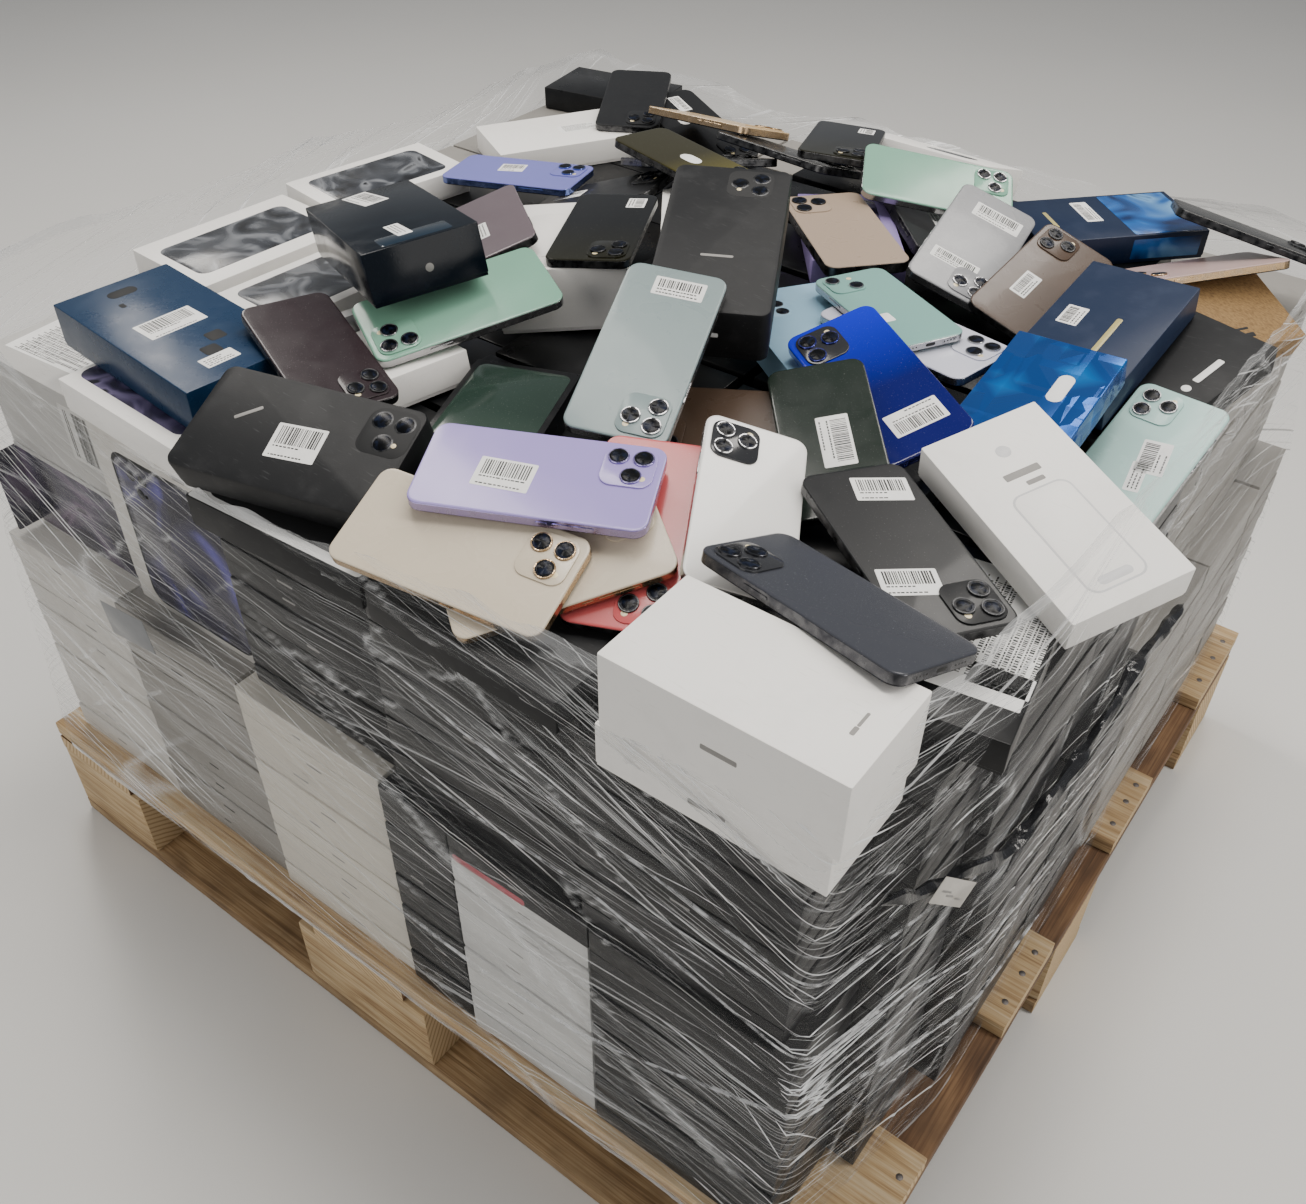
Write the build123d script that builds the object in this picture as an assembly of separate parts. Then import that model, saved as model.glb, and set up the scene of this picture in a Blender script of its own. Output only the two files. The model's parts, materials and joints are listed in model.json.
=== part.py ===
"""A block pallet loaded with stacked phone boxes, a heap of boxed and loose phones, and stretch film.

Millimetres, +Z up. The origin is the middle of the footprint, on the floor. +X runs to the right
along the front side and +Y runs to the back. The boxes stand in two tiers round a plain core.
The heap on top is laid piece by piece: each piece comes down onto what lies below it and tilts
until three points round its middle carry it, so every height and tilt follows from the sizes.
"""
from build123d import *
import math
import os
from dataclasses import dataclass
from itertools import combinations

import numpy as np

os.makedirs("parts", exist_ok=True)

# Pallet
DECK_LENGTH = 1016.0
DECK_WIDTH = 965.0
BOARD_THICK = 19.0
LEAD_BOARD_WIDTH = 147.0
INNER_BOARD_WIDTH = 115.0
INNER_BOARDS = 2
CROSS_BOARD_WIDTH = 125.0
BOTTOM_BOARD_WIDTH = 120.0
BLOCK_HEIGHT = 89.0
BLOCK_LENGTH = 135.0
MIDDLE_BLOCK_LENGTH = 175.0
MIDDLE_BLOCK_X = -25.0
BLOCK_WIDTH = 110.0
BOARD_WANE = 2.0

# Load
SEAT_GAP = 0.3
COLUMN_GAP = 2.0
LOWER_TIER_TOP = 415.0
UPPER_TIER_TOP = 608.0
BED_BOX = 26.0
BED_ROWS = 4
BED_FILES = 7
BED_SPAN_X = (-70.0, 330.0)
BED_SPAN_Y = (-375.0, 385.0)
BED_TURN = 2.0
BOX_DEPTH = 92.0
SLIP = 0.8

# Phones
PHONE_ROUND = 10.0
PHONE_CHAMFER = 0.9
PLATEAU_HEIGHT = 1.1
LENS_HEIGHT = 1.3
LENS_RADIUS = 5.6
PORT_DEEP = 1.5
PORT_WIDE = 9.0
PORT_HIGH = 3.2
LID_LIP = 0.7
LID_SHOW = 3.0

# Heap: passes to settle and to lower a piece, its steepest lie, and what counts as the same height
SETTLING_STEPS = 3
LOWERING_STEPS = 3
SLIDE_TILT = 20.0
NEAR = 0.001

# Film: outline of the wrapped load at three heights, from the left front corner round to the left back
FILM_THICK = 0.8
FILM_CLEAR = 2.0
FILM_LAP = 16.0
FILM_OVER_DECK = 1.2
SIDE_INSET = 20.0
NEAR_CORNER_INSET = 62.0
SHOULDER_INSET = 206.5
CUT_OVER = 1.0

BLOCK_TOP = BOARD_THICK + BLOCK_HEIGHT
CROSS_TOP = BLOCK_TOP + BOARD_THICK
DECK_TOP = CROSS_TOP + BOARD_THICK


def box_between(low, high):
    """Box solid from its lowest to its highest corner."""
    size = [b - a for a, b in zip(low, high)]
    middle = [(a + b) / 2 for a, b in zip(low, high)]
    return Pos(*middle) * Box(*size)


def board(length, width):
    """Sawn board along X on Z = 0, the long arrises of its upper face worn."""
    plank = Pos(0, 0, BOARD_THICK / 2) * Box(length, width, BOARD_THICK)
    arrises = plank.edges().filter_by(Axis.X).group_by(Axis.Z)[-1]
    return chamfer(arrises, BOARD_WANE)


def pallet():
    """Deck boards along X, cross boards along Y, nine blocks and three bottom boards along X."""
    free = DECK_WIDTH - 2 * LEAD_BOARD_WIDTH - INNER_BOARDS * INNER_BOARD_WIDTH
    pitch = free / (INNER_BOARDS + 1) + INNER_BOARD_WIDTH
    lead = DECK_WIDTH / 2 - LEAD_BOARD_WIDTH / 2
    deck = [Pos(0, side * lead, CROSS_TOP) * board(DECK_LENGTH, LEAD_BOARD_WIDTH) for side in (-1, 1)]
    for n in range(INNER_BOARDS):
        y = (n - (INNER_BOARDS - 1) / 2) * pitch
        deck.append(Pos(0, y, CROSS_TOP) * board(DECK_LENGTH, INNER_BOARD_WIDTH))
    end = DECK_LENGTH / 2 - BLOCK_LENGTH / 2
    side = DECK_WIDTH / 2 - BLOCK_WIDTH / 2
    columns = ((-end, BLOCK_LENGTH), (MIDDLE_BLOCK_X, MIDDLE_BLOCK_LENGTH), (end, BLOCK_LENGTH))
    outer = DECK_LENGTH / 2 - CROSS_BOARD_WIDTH / 2
    cross = [Pos(x, 0, BLOCK_TOP) * Rot(0, 0, 90) * board(DECK_WIDTH, CROSS_BOARD_WIDTH)
             for x in (-outer, MIDDLE_BLOCK_X, outer)]
    blocks = [Pos(x, y, BOARD_THICK + BLOCK_HEIGHT / 2) * Box(length, BLOCK_WIDTH, BLOCK_HEIGHT)
              for x, length in columns for y in (-side, 0, side)]
    foot = DECK_WIDTH / 2 - BOTTOM_BOARD_WIDTH / 2
    bottom = [Pos(0, y, 0) * board(DECK_LENGTH, BOTTOM_BOARD_WIDTH) for y in (-foot, 0, foot)]
    return {"deck_boards": deck, "cross_boards": cross, "blocks": blocks, "bottom_boards": bottom}


LOWER_TIER = (DECK_TOP, LOWER_TIER_TOP)
UPPER_TIER = (LOWER_TIER_TOP, UPPER_TIER_TOP)
FILM_LEVELS = (DECK_TOP - FILM_LAP, LOWER_TIER_TOP, UPPER_TIER_TOP)
SIDE_X = DECK_LENGTH / 2 - SIDE_INSET
SHOULDER_Y = SHOULDER_INSET - DECK_WIDTH / 2
HUG = -FILM_OVER_DECK - FILM_THICK
# How far inside the deck's edges, in X and in Y, each corner of the outline stands at each level
FILM_INSETS = (
    ((SIDE_INSET, HUG), (NEAR_CORNER_INSET, HUG), (SIDE_INSET, SHOULDER_INSET), (SIDE_INSET, HUG), (SIDE_INSET, HUG)),
    ((SIDE_INSET, 18.5), (NEAR_CORNER_INSET, -0.5), (SIDE_INSET, SHOULDER_INSET), (SIDE_INSET, 16.5),
     (SIDE_INSET, 16.5)),
    ((34.0, 48.5), (NEAR_CORNER_INSET, -1.5), (30.0, SHOULDER_INSET), (48.0, 30.5), (34.0, 24.5)),
)
CORNER_SIDES = ((-1, -1), (1, -1), (1, -1), (1, 1), (-1, 1))
FILM_OUTLINES = tuple(
    tuple((sx * (DECK_LENGTH / 2 - x), sy * (DECK_WIDTH / 2 - y)) for (sx, sy), (x, y) in zip(CORNER_SIDES, insets))
    for insets in FILM_INSETS)


def outline_at(z):
    """Film outline at a height, straight between the levels."""
    z = min(max(z, FILM_LEVELS[0]), FILM_LEVELS[-1])
    n = 0 if z <= FILM_LEVELS[1] else 1
    t = (z - FILM_LEVELS[n]) / (FILM_LEVELS[n + 1] - FILM_LEVELS[n])
    return [tuple(a + t * (b - a) for a, b in zip(p, q))
            for p, q in zip(FILM_OUTLINES[n], FILM_OUTLINES[n + 1])]


def face_of(side, low, high, tier):
    """Furthest out that a straight face between two stations of a side can stand inside the film."""
    along = 0 if side in ("front", "back") else 1
    across = 1 - along
    start, stop = {"front": (0, 1), "corner": (1, 2), "right": (2, 3), "back": (3, 4), "left": (4, 0)}[side]
    reach = []
    for z in tier:
        p, q = outline_at(z)[start], outline_at(z)[stop]
        for station in (low, high):
            t = (station - p[along]) / (q[along] - p[along])
            reach.append(p[across] + t * (q[across] - p[across]))
    room = FILM_THICK + FILM_CLEAR + 2 * SLIP
    if side in ("front", "left"):
        return max(reach) + room
    return min(reach) - room


@dataclass(frozen=True)
class Column:
    """A column of like boxes that lie flat on each other, given by its side, its plan and its height."""

    node: str
    side: str
    x: tuple
    y: tuple
    z: tuple
    box: float

    def boxes(self):
        """Lowest and highest corner of each box, each box slipped a little from the one below."""
        count = max(1, round((self.z[1] - self.z[0]) / self.box))
        pitch = (self.z[1] - self.z[0]) / count
        made = []
        for n in range(count):
            slip = SLIP * math.sin(2.4 * n + 0.02 * self.x[0] + 0.03 * self.y[0])
            low = (self.x[0] + SLIP + slip, self.y[0] + SLIP - slip, self.z[0] + n * pitch + SEAT_GAP)
            high = (self.x[1] - SLIP + slip, self.y[1] - SLIP - slip, self.z[0] + (n + 1) * pitch)
            made.append((low, high))
        return made


# Front side, from the left: node, width of its column, and height of one box
FRONT_LOWER = (
    ("front_white_boxes", 173.0, 30.0),
    ("front_grey_boxes", 173.0, 30.0),
    ("front_cream_boxes", 177.0, 30.0),
    ("front_dark_boxes", 75.0, 22.0),
    ("front_pale_boxes", 140.0, 30.0),
    ("front_dark_boxes", 174.0, 24.0),
)
FRONT_UPPER = (
    ("label_box_stack", 171.0, 92.0),
    ("picture_box_stack", 171.0, 185.0),
    ("front_black_boxes", 178.0, 20.0),
    ("front_black_boxes", 196.0, 20.0),
    ("front_black_boxes", 172.0, 20.0),
)
# Other sides: columns on each, and height of one box
RIGHT_COLUMNS = 4
BACK_COLUMNS = 6
LEFT_COLUMNS = 4
LOWER_BOX = 30.0
UPPER_BOX = 26.0


def stations(start, stop, count):
    """Equal spans between two stations, a column gap apart."""
    pitch = (stop - start + COLUMN_GAP) / count
    return [(start + n * pitch, start + (n + 1) * pitch - COLUMN_GAP) for n in range(count)]


def columns():
    """All the columns of both tiers, side by side round the core."""
    made = []
    inset = FILM_THICK + FILM_CLEAR + 2 * SLIP
    for rows, tier, box in ((FRONT_LOWER, LOWER_TIER, LOWER_BOX), (FRONT_UPPER, UPPER_TIER, UPPER_BOX)):
        rings = (outline_at(tier[0]), outline_at(tier[1]))
        left = max(ring[0][0] for ring in rings) + inset
        right = min(ring[3][0] for ring in rings) - inset
        x = left
        fronts = []
        for node, width, height in rows:
            face = face_of("front", x, x + width, tier)
            fronts.append(Column(node, "front", (x, x + width), (face, face + BOX_DEPTH), tier, height))
            x += width + COLUMN_GAP
        corner = fronts[-1]
        width = corner.x[1] - corner.x[0]
        behind = (corner.y[1] + COLUMN_GAP, corner.y[1] + COLUMN_GAP + BOX_DEPTH)
        face = face_of("corner", *behind, tier)
        second = Column(corner.node, "corner", (face - width, face), behind, tier, corner.box)
        spans = stations(left, right, BACK_COLUMNS)
        back = min(face_of("back", a, b, tier) for a, b in spans)
        backs = [Column("back_boxes", "back", span, (back - BOX_DEPTH, back), tier, box) for span in spans]
        inner = back - BOX_DEPTH - COLUMN_GAP
        lefts = []
        for a, b in stations(fronts[0].y[1] + COLUMN_GAP, inner, LEFT_COLUMNS):
            face = face_of("left", a, b, tier)
            lefts.append(Column("left_boxes", "left", (face, face + BOX_DEPTH), (a, b), tier, box))
        rights = []
        for a, b in stations(max(behind[1], SHOULDER_Y) + COLUMN_GAP, inner, RIGHT_COLUMNS):
            face = face_of("right", a, b, tier)
            rights.append(Column("right_boxes", "right", (face - BOX_DEPTH, face), (a, b), tier, box))
        made += fronts + [second] + backs + lefts + rights
    return made


@dataclass(frozen=True)
class Make:
    """A make of phone or box: its length, width and thickness, and its lenses if it is a phone."""

    length: float
    width: float
    thick: float
    lenses: int = 0
    lid: bool = False


PHONE = Make(150.0, 74.0, 8.0, 3)
LARGE_PHONE = Make(162.0, 78.0, 8.5, 3)
SMALL_PHONE = Make(138.0, 68.0, 7.5, 2)
CASED_PHONE = Make(156.0, 79.0, 11.0, 3)
PLAIN_PHONE = Make(146.0, 72.0, 8.0)
SLIM_BOX = Make(172.0, 94.0, 28.0, lid=True)
SHORT_BOX = Make(150.0, 88.0, 26.0, lid=True)
WIDE_BOX = Make(176.0, 118.0, 30.0, lid=True)
DEEP_BOX = Make(196.0, 98.0, 44.0, lid=True)
LONG_BOX = Make(204.0, 106.0, 38.0, lid=True)
BED_TOP_BOX = Make(192.0, 86.0, 27.0)
SQUARE_BOX = Make(150.0, 112.0, 58.0, lid=True)
CORNER_LOW_BOX = Make(162.0, 86.0, 36.0, lid=True)
CORNER_TOP_BOX = Make(162.0, 86.0, 60.0, lid=True)

# The heap from the bottom up: node, make, place of its middle in plan, turn of its long side, and the
# steepest lean in degrees where a piece may lean less than SLIDE_TILT
HEAP = (
    ("corner_white_boxes", CORNER_LOW_BOX, 364.0, -438.0, 0.0),
    ("corner_white_boxes", CORNER_TOP_BOX, 369.0, -440.0, 0.0, 10.0),
    ("picture_box_flat", WIDE_BOX, -225.0, -385.0, -3.0),
    ("dark_picture_boxes", WIDE_BOX, -405.0, -172.0, 86.0),
    ("dark_picture_boxes", SLIM_BOX, -284.0, -180.0, 86.0),
    ("two_square_box", SLIM_BOX, -135.0, -256.0, -17.0),
    ("heap_white_boxes", SLIM_BOX, -420.0, 20.0, 80.0),
    ("heap_white_boxes", SLIM_BOX, -350.0, 240.0, 60.0),
    ("heap_white_boxes", SLIM_BOX, 40.0, 412.0, -4.0),
    ("heap_black_boxes", SHORT_BOX, -395.0, 400.0, 10.0),
    ("heap_black_boxes", SLIM_BOX, -20.0, -425.0, 3.0),
    ("heap_black_boxes", SLIM_BOX, 165.0, -427.0, -2.0),
    ("kraft_box", SHORT_BOX, 400.0, 240.0, 58.0),
    ("heap_black_boxes", SHORT_BOX, 418.0, 108.0, 74.0),
    ("label_sheet_box", SLIM_BOX, 424.0, -264.0, -81.0),
    ("navy_sleeve_box", SLIM_BOX, 264.0, 338.0, 47.0, 12.0),
    ("violet_box", SHORT_BOX, 76.0, 170.0, -53.0),
    ("light_blue_box", SLIM_BOX, 163.0, -34.0, -35.0, 8.0),
    ("teal_picture_box", DEEP_BOX, 5.0, 45.0, -54.0),
    ("square_white_box", SQUARE_BOX, -82.0, -64.0, -52.0, 4.0),
    ("mint_phones", LARGE_PHONE, -78.0, -209.0, -117.0, 16.0),
    ("dark_phones", PLAIN_PHONE, -148.0, -92.0, -38.0),
    ("glossy_black_box", DEEP_BOX, -168.0, -187.0, -26.0, 12.0),
    ("navy_boxes", LONG_BOX, -251.0, -361.0, -6.0),
    ("boxed_phone_green", SHORT_BOX, 32.0, -288.0, -69.0, 12.0),
    ("dark_phones", PHONE, -120.0, -325.0, -20.0),
    ("dark_phones", PHONE, -165.0, 90.0, 10.0),
    ("dark_phones", PHONE, -110.0, 180.0, 60.0),
    ("dark_phones", PHONE, -50.0, 255.0, -10.0),
    ("dark_phones", LARGE_PHONE, -241.0, 362.0, -22.0),
    ("dark_phones", PHONE, -320.0, 345.0, -60.0),
    ("brown_phones", PHONE, -83.0, 125.0, -8.0, 12.0),
    ("gold_phone", LARGE_PHONE, -178.0, 312.0, -15.0),
    ("violet_blue_phone", PHONE, -284.0, 95.0, 15.0),
    ("camera_black_box", DEEP_BOX, 85.0, -68.0, -62.0, 10.0),
    ("glossy_black_phones", PHONE, -54.0, -46.0, -63.0),
    ("glossy_black_phones", PHONE, -10.0, 298.0, -69.0),
    ("champagne_phone", CASED_PHONE, 85.0, 140.0, 138.0),
    ("labelled_black_phones", CASED_PHONE, 128.0, 232.0, -45.0),
    ("mint_phones", PHONE, 117.0, 263.0, 28.0),
    ("silver_phone", LARGE_PHONE, 196.0, 182.0, -79.0),
    ("pink_phone", PHONE, 372.0, 280.0, -135.0),
    ("brown_phones", PHONE, 272.0, 170.0, 90.0),
    ("navy_boxes", SLIM_BOX, 356.0, 92.0, 87.0),
    ("dark_phones", PHONE, 398.0, 345.0, 20.0),
    ("mint_phones", PHONE, 436.0, -6.0, 85.0),
    ("bright_blue_sleeve", SHORT_BOX, 358.0, -49.0, 89.0),
    ("lilac_white_phone", PHONE, 232.0, 2.0, -12.0),
    ("teal_phones", SMALL_PHONE, 199.0, 14.0, 149.0),
    ("deep_blue_phone", LARGE_PHONE, 251.0, -93.0, 148.0),
    ("brown_phones", PHONE, 182.0, -185.0, -157.0),
    ("dark_green_phone", PHONE, 256.0, -171.0, -51.0),
    ("teal_phones", LARGE_PHONE, 124.0, -218.0, -71.0),
    ("red_phone", PHONE, 212.0, -345.0, -66.0),
    ("five_lens_phone", PHONE, 185.0, -398.0, 55.0),
    ("white_phone", PHONE, 264.0, -297.0, 122.0),
    ("outline_white_box", SLIM_BOX, 423.0, -165.0, -29.0),
    ("labelled_black_phones", LARGE_PHONE, 366.0, -267.0, -33.0, 6.0),
    ("scuffed_black_box", SLIM_BOX, -36.0, -412.0, 14.0),
    ("cream_phone", LARGE_PHONE, 132.0, -431.0, 9.0),
    ("lilac_phone", LARGE_PHONE, 145.0, -366.0, 25.0),
    ("graphite_phone", LARGE_PHONE, 367.0, -360.0, 165.0),
)


def on_load(x, y):
    """Place in plan that was measured on a load of 1016 by 965, moved with the deck's own size."""
    return x * DECK_LENGTH / 1016, y * DECK_WIDTH / 965


def bed_pieces():
    """Boxes of the bed's upper layer, laid roughly in rows in the middle of the load."""
    made = []
    low, high = (on_load(x, y) for x, y in zip(BED_SPAN_X, BED_SPAN_Y))
    rows = int((high[0] - low[0]) // BED_TOP_BOX.length)
    files = int((high[1] - low[1]) // BED_TOP_BOX.width)
    for a, b in stations(low[0], high[0], rows):
        for c, d in stations(low[1], high[1], files):
            turn = BED_TURN * math.sin(0.031 * a + 0.047 * c)
            made.append(("bed_boxes", BED_TOP_BOX, (a + b) / 2, (c + d) / 2, turn))
    return made


def heap_places():
    """Rows of the heap with their places moved with the deck's own size."""
    return [(node, make, *on_load(x, y), *rest) for node, make, x, y, *rest in HEAP]


class Block:
    """A convex box in the heap, held as its middle, its three axes and its half sizes."""

    def __init__(self, middle, axes, half):
        self.middle = np.asarray(middle, float)
        self.axes = np.asarray(axes, float)
        self.half = np.asarray(half, float)

    def facets(self, way):
        """Faces that look up (way 1) or down (way -1), as rings of four points."""
        rings = []
        for n in range(3):
            for sign in (-1.0, 1.0):
                normal = sign * self.axes[n]
                if way * normal[2] < 0.02:
                    continue
                a, b = (n + 1) % 3, (n + 2) % 3
                face = self.middle + normal * self.half[n]
                u, v = self.axes[a] * self.half[a], self.axes[b] * self.half[b]
                rings.append(np.array([face - u - v, face + u - v, face + u + v, face - u + v]))
        return rings


def clipped(ring, window):
    """Part of a flat ring whose plan lies inside the plan of a convex window."""
    area = sum(p[0] * q[1] - q[0] * p[1] for p, q in zip(window, np.roll(window, -1, 0)))
    if area < 0:
        window = window[::-1]
    points = list(ring)
    for p, q in zip(window, np.roll(window, -1, 0)):
        side = [(q[0] - p[0]) * (s[1] - p[1]) - (q[1] - p[1]) * (s[0] - p[0]) for s in points]
        kept = []
        for n, s in enumerate(points):
            m = (n + 1) % len(points)
            if side[n] >= 0:
                kept.append(s)
            if side[n] * side[m] < 0:
                kept.append(s + (points[m] - s) * side[n] / (side[n] - side[m]))
        points = kept
        if not points:
            break
    return points


def height_over(ring, place):
    """Height of a ring's plane over a place in plan."""
    normal = np.cross(ring[1] - ring[0], ring[2] - ring[0])
    return ring[0][2] - (normal[0] * (place[0] - ring[0][0]) + normal[1] * (place[1] - ring[0][1])) / normal[2]


def resting_normal(points, middle, lean):
    """Upward normal, within a steepest lean, of the plane on three of the points that no point rises above."""
    spots = np.unique(np.round(points, 3), axis=0)
    corners = np.array(list(combinations(range(len(spots)), 3)))
    a, b, c = (spots[corners[:, n]] for n in range(3))
    across = (b[:, 0] - a[:, 0]) * (c[:, 1] - a[:, 1]) - (c[:, 0] - a[:, 0]) * (b[:, 1] - a[:, 1])
    good = np.abs(across) > 20.0
    a, b, c, across = a[good], b[good], c[good], across[good]
    v = ((middle[0] - a[:, 0]) * (c[:, 1] - a[:, 1]) - (c[:, 0] - a[:, 0]) * (middle[1] - a[:, 1])) / across
    w = ((b[:, 0] - a[:, 0]) * (middle[1] - a[:, 1]) - (middle[0] - a[:, 0]) * (b[:, 1] - a[:, 1])) / across
    height = (1 - v - w) * a[:, 2] + v * b[:, 2] + w * c[:, 2]
    inside = (v > -NEAR) & (w > -NEAR) & (v + w < 1 + NEAR)
    a, b, c, height = a[inside], b[inside], c[inside], height[inside]
    top = height > height.max() - NEAR
    normals = np.cross(b[top] - a[top], c[top] - a[top])
    normals = normals / np.linalg.norm(normals, axis=1)[:, None]
    normals = normals * np.sign(normals[:, 2:])
    return upright(normals[int(np.argmax(normals[:, 2]))], lean)


def upright(normal, lean):
    """Normal turned towards the vertical until the piece no longer slides: its neighbours hold it there."""
    limit = math.radians(lean)
    if normal[2] >= math.cos(limit):
        return normal
    level = normal[:2] / np.linalg.norm(normal[:2]) * math.sin(limit)
    return np.array([level[0], level[1], math.cos(limit)])


def frame_on(normal, turn):
    """Axes of a piece whose underside has this normal and whose long side has this turn in plan."""
    heading = np.array([math.cos(math.radians(turn)), math.sin(math.radians(turn)), 0.0])
    along = heading - normal * heading.dot(normal)
    along = along / np.linalg.norm(along)
    return np.array([along, np.cross(normal, along), normal])


def blocks_of(make, foot, axes):
    """The piece's own box, and its raised camera if it is a phone, from the middle of its underside."""
    half = np.array([make.length / 2, make.width / 2, make.thick / 2])
    made = [Block(foot + axes[2] * half[2], axes, half)]
    if make.lenses:
        side, u, v = plateau(make)
        rise = PLATEAU_HEIGHT + LENS_HEIGHT
        spot = foot + axes[0] * u + axes[1] * v + axes[2] * (make.thick + rise / 2)
        made.append(Block(spot, axes, (side / 2, side / 2, rise / 2)))
    return made


def plateau(make):
    """Side of a phone's camera plateau, and where its middle lies along and across the phone."""
    side = 0.46 * make.width
    inset = 5.0
    return side, make.length / 2 - inset - side / 2, make.width / 2 - inset - side / 2


def seat(make, x, y, turn, below, lean=SLIDE_TILT):
    """Foot and axes of a piece that has come to rest at this place on the blocks below."""
    axes = frame_on(np.array([0.0, 0.0, 1.0]), turn)
    foot = np.array([x, y, 0.0])
    for _ in range(SETTLING_STEPS):
        under = blocks_of(make, foot, axes)[0].facets(-1)[-1]
        points = [s for block in below for ring in block.facets(1) for s in clipped(ring, under)]
        axes = frame_on(resting_normal(np.array(points), foot, lean), turn)
    drop = np.inf
    mine = blocks_of(make, foot, axes)
    for block in below:
        reach = np.linalg.norm(block.half) + np.linalg.norm(mine[0].half)
        if np.linalg.norm(block.middle[:2] - mine[0].middle[:2]) > reach:
            continue
        for top in block.facets(1):
            for ring in mine[0].facets(-1):
                for s in clipped(ring, top):
                    drop = min(drop, s[2] - height_over(top, s))
    foot[2] -= drop - SEAT_GAP
    return foot, axes


def phone(make):
    """Phone on Z = 0 with its back up: rounded slab, camera plateau, lenses, keys and charging port."""
    slab = extrude(RectangleRounded(make.length, make.width, PHONE_ROUND), make.thick)
    slab = chamfer(slab.faces().sort_by(Axis.Z)[-1].edges(), PHONE_CHAMFER)
    port = Pos(-make.length / 2, 0, make.thick / 2) * Box(PORT_DEEP * 2, PORT_WIDE, PORT_HIGH)
    solid = slab - port
    if make.lenses:
        side, u, v = plateau(make)
        solid += Pos(u, v, make.thick) * extrude(RectangleRounded(side, side, side / 4), PLATEAU_HEIGHT)
        step = side * 0.24
        spots = ((step, step), (-step, step), (0.35 * step, -step), (-step, -step))
        if make.lenses == 2:
            spots = ((step, step), (-step, -step))
        for a, b in spots[:make.lenses]:
            rise = PLATEAU_HEIGHT + LENS_HEIGHT
            solid += Pos(u + a, v + b, make.thick + rise / 2) * Cylinder(LENS_RADIUS, rise)
    return solid


def lidded_box(make):
    """Two-part card box on Z = 0: a lid that drops over its tray and leaves a narrow band of it bare."""
    tray = Pos(0, 0, make.thick / 4) * Box(make.length - 2 * LID_LIP, make.width - 2 * LID_LIP, make.thick / 2)
    lid_height = make.thick - LID_SHOW
    return tray + Pos(0, 0, LID_SHOW + lid_height / 2) * Box(make.length, make.width, lid_height)


def lowered(solid, neighbours):
    """Solid moved down until it lies a seat gap from the first of its neighbours, and how far it went."""
    fall = 0.0
    for _ in range(LOWERING_STEPS):
        gap = min(solid.distance_to(other) for other in neighbours)
        if gap < 2 * SEAT_GAP:
            break
        fall += gap - SEAT_GAP
        solid = Pos(0, 0, SEAT_GAP - gap) * solid
    return solid, fall


def heap(floor):
    """Solids of the heap by node, each seated on the blocks below it and then lowered on to the real shapes."""
    shapes = {}
    below = [floor]
    laid = [(0.0, 0.0, math.inf, box_between((-SIDE_X, -SIDE_X, 0), (SIDE_X, SIDE_X, UPPER_TIER_TOP)))]
    made = {}
    for node, make, x, y, turn, *lean in (*bed_pieces(), *heap_places()):
        foot, axes = seat(make, x, y, turn, below, *lean)
        if make not in shapes:
            shapes[make] = lidded_box(make) if make.lid else phone(make)
        place = Plane(origin=tuple(foot), x_dir=tuple(axes[0]), z_dir=tuple(axes[2]))
        reach = math.hypot(make.length, make.width) / 2
        near = [other for u, v, size, other in laid if math.hypot(x - u, y - v) < reach + size]
        solid, fall = lowered(place.location * shapes[make], near)
        below += blocks_of(make, foot - np.array([0.0, 0.0, fall]), axes)
        laid.append((x, y, reach, solid))
        made.setdefault(node, []).append(solid)
    return made


def shrunk(points, wall):
    """Outline with each side moved inwards by a wall."""
    moved = []
    for n in range(len(points)):
        before, here, after = (np.array(points[(n + k) % len(points)]) for k in (-1, 0, 1))
        first = (here - before) / np.linalg.norm(here - before)
        second = (after - here) / np.linalg.norm(after - here)
        inward = np.array([-first[1], first[0]]) + np.array([-second[1], second[0]])
        moved.append(tuple(here + inward * wall / (1 + first.dot(second))))
    return moved


def ring_face(points, z):
    """Flat face on an outline at a height."""
    return make_face(Polyline(*[(x, y, z) for x, y in points], close=True))


def wrapped_bulk(wall):
    """Everything inside the film's outlines, moved inwards by a wall."""
    rings = [ring_face(shrunk(outline, wall), z) for outline, z in zip(FILM_OUTLINES, FILM_LEVELS)]
    return loft(rings[:2], ruled=True) + loft(rings[1:], ruled=True)


def film():
    """Open sleeve that laps over the lead boards and ends on the deck elsewhere."""
    sleeve = wrapped_bulk(0.0) - wrapped_bulk(FILM_THICK)
    deck = Box(DECK_LENGTH, DECK_WIDTH + FILM_OVER_DECK, 2 * (DECK_TOP + SEAT_GAP))
    return sleeve - deck


def core_and_bed(stacks):
    """Plain core inside the columns, and the layer of boxes on it that the heap lies on."""
    inner = {side: [c for c in stacks if c.side == side] for side in ("front", "corner", "right", "back", "left")}
    low = (max(c.x[1] for c in inner["left"]) + COLUMN_GAP, max(c.y[1] for c in inner["front"]) + COLUMN_GAP)
    high = (min(c.x[0] for c in inner["right"]) - COLUMN_GAP, min(c.y[0] for c in inner["back"]) - COLUMN_GAP)
    notch_x = min(c.x[0] for c in inner["corner"]) - COLUMN_GAP
    notch_y = max(c.y[1] for c in inner["corner"]) + COLUMN_GAP
    bed_low = UPPER_TIER_TOP - BED_BOX
    core = box_between((*low, DECK_TOP), (*high, bed_low))
    core -= box_between((notch_x, low[1] - CUT_OVER, 0), (high[0] + CUT_OVER, notch_y, UPPER_TIER_TOP))
    bed = []
    for a, b in stations(low[0], high[0], BED_ROWS):
        for c, d in stations(low[1], high[1], BED_FILES):
            if b > notch_x and c < notch_y:
                continue
            bed.append(box_between((a, c, bed_low + SEAT_GAP), (b, d, UPPER_TIER_TOP)))
    return core, bed


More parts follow.
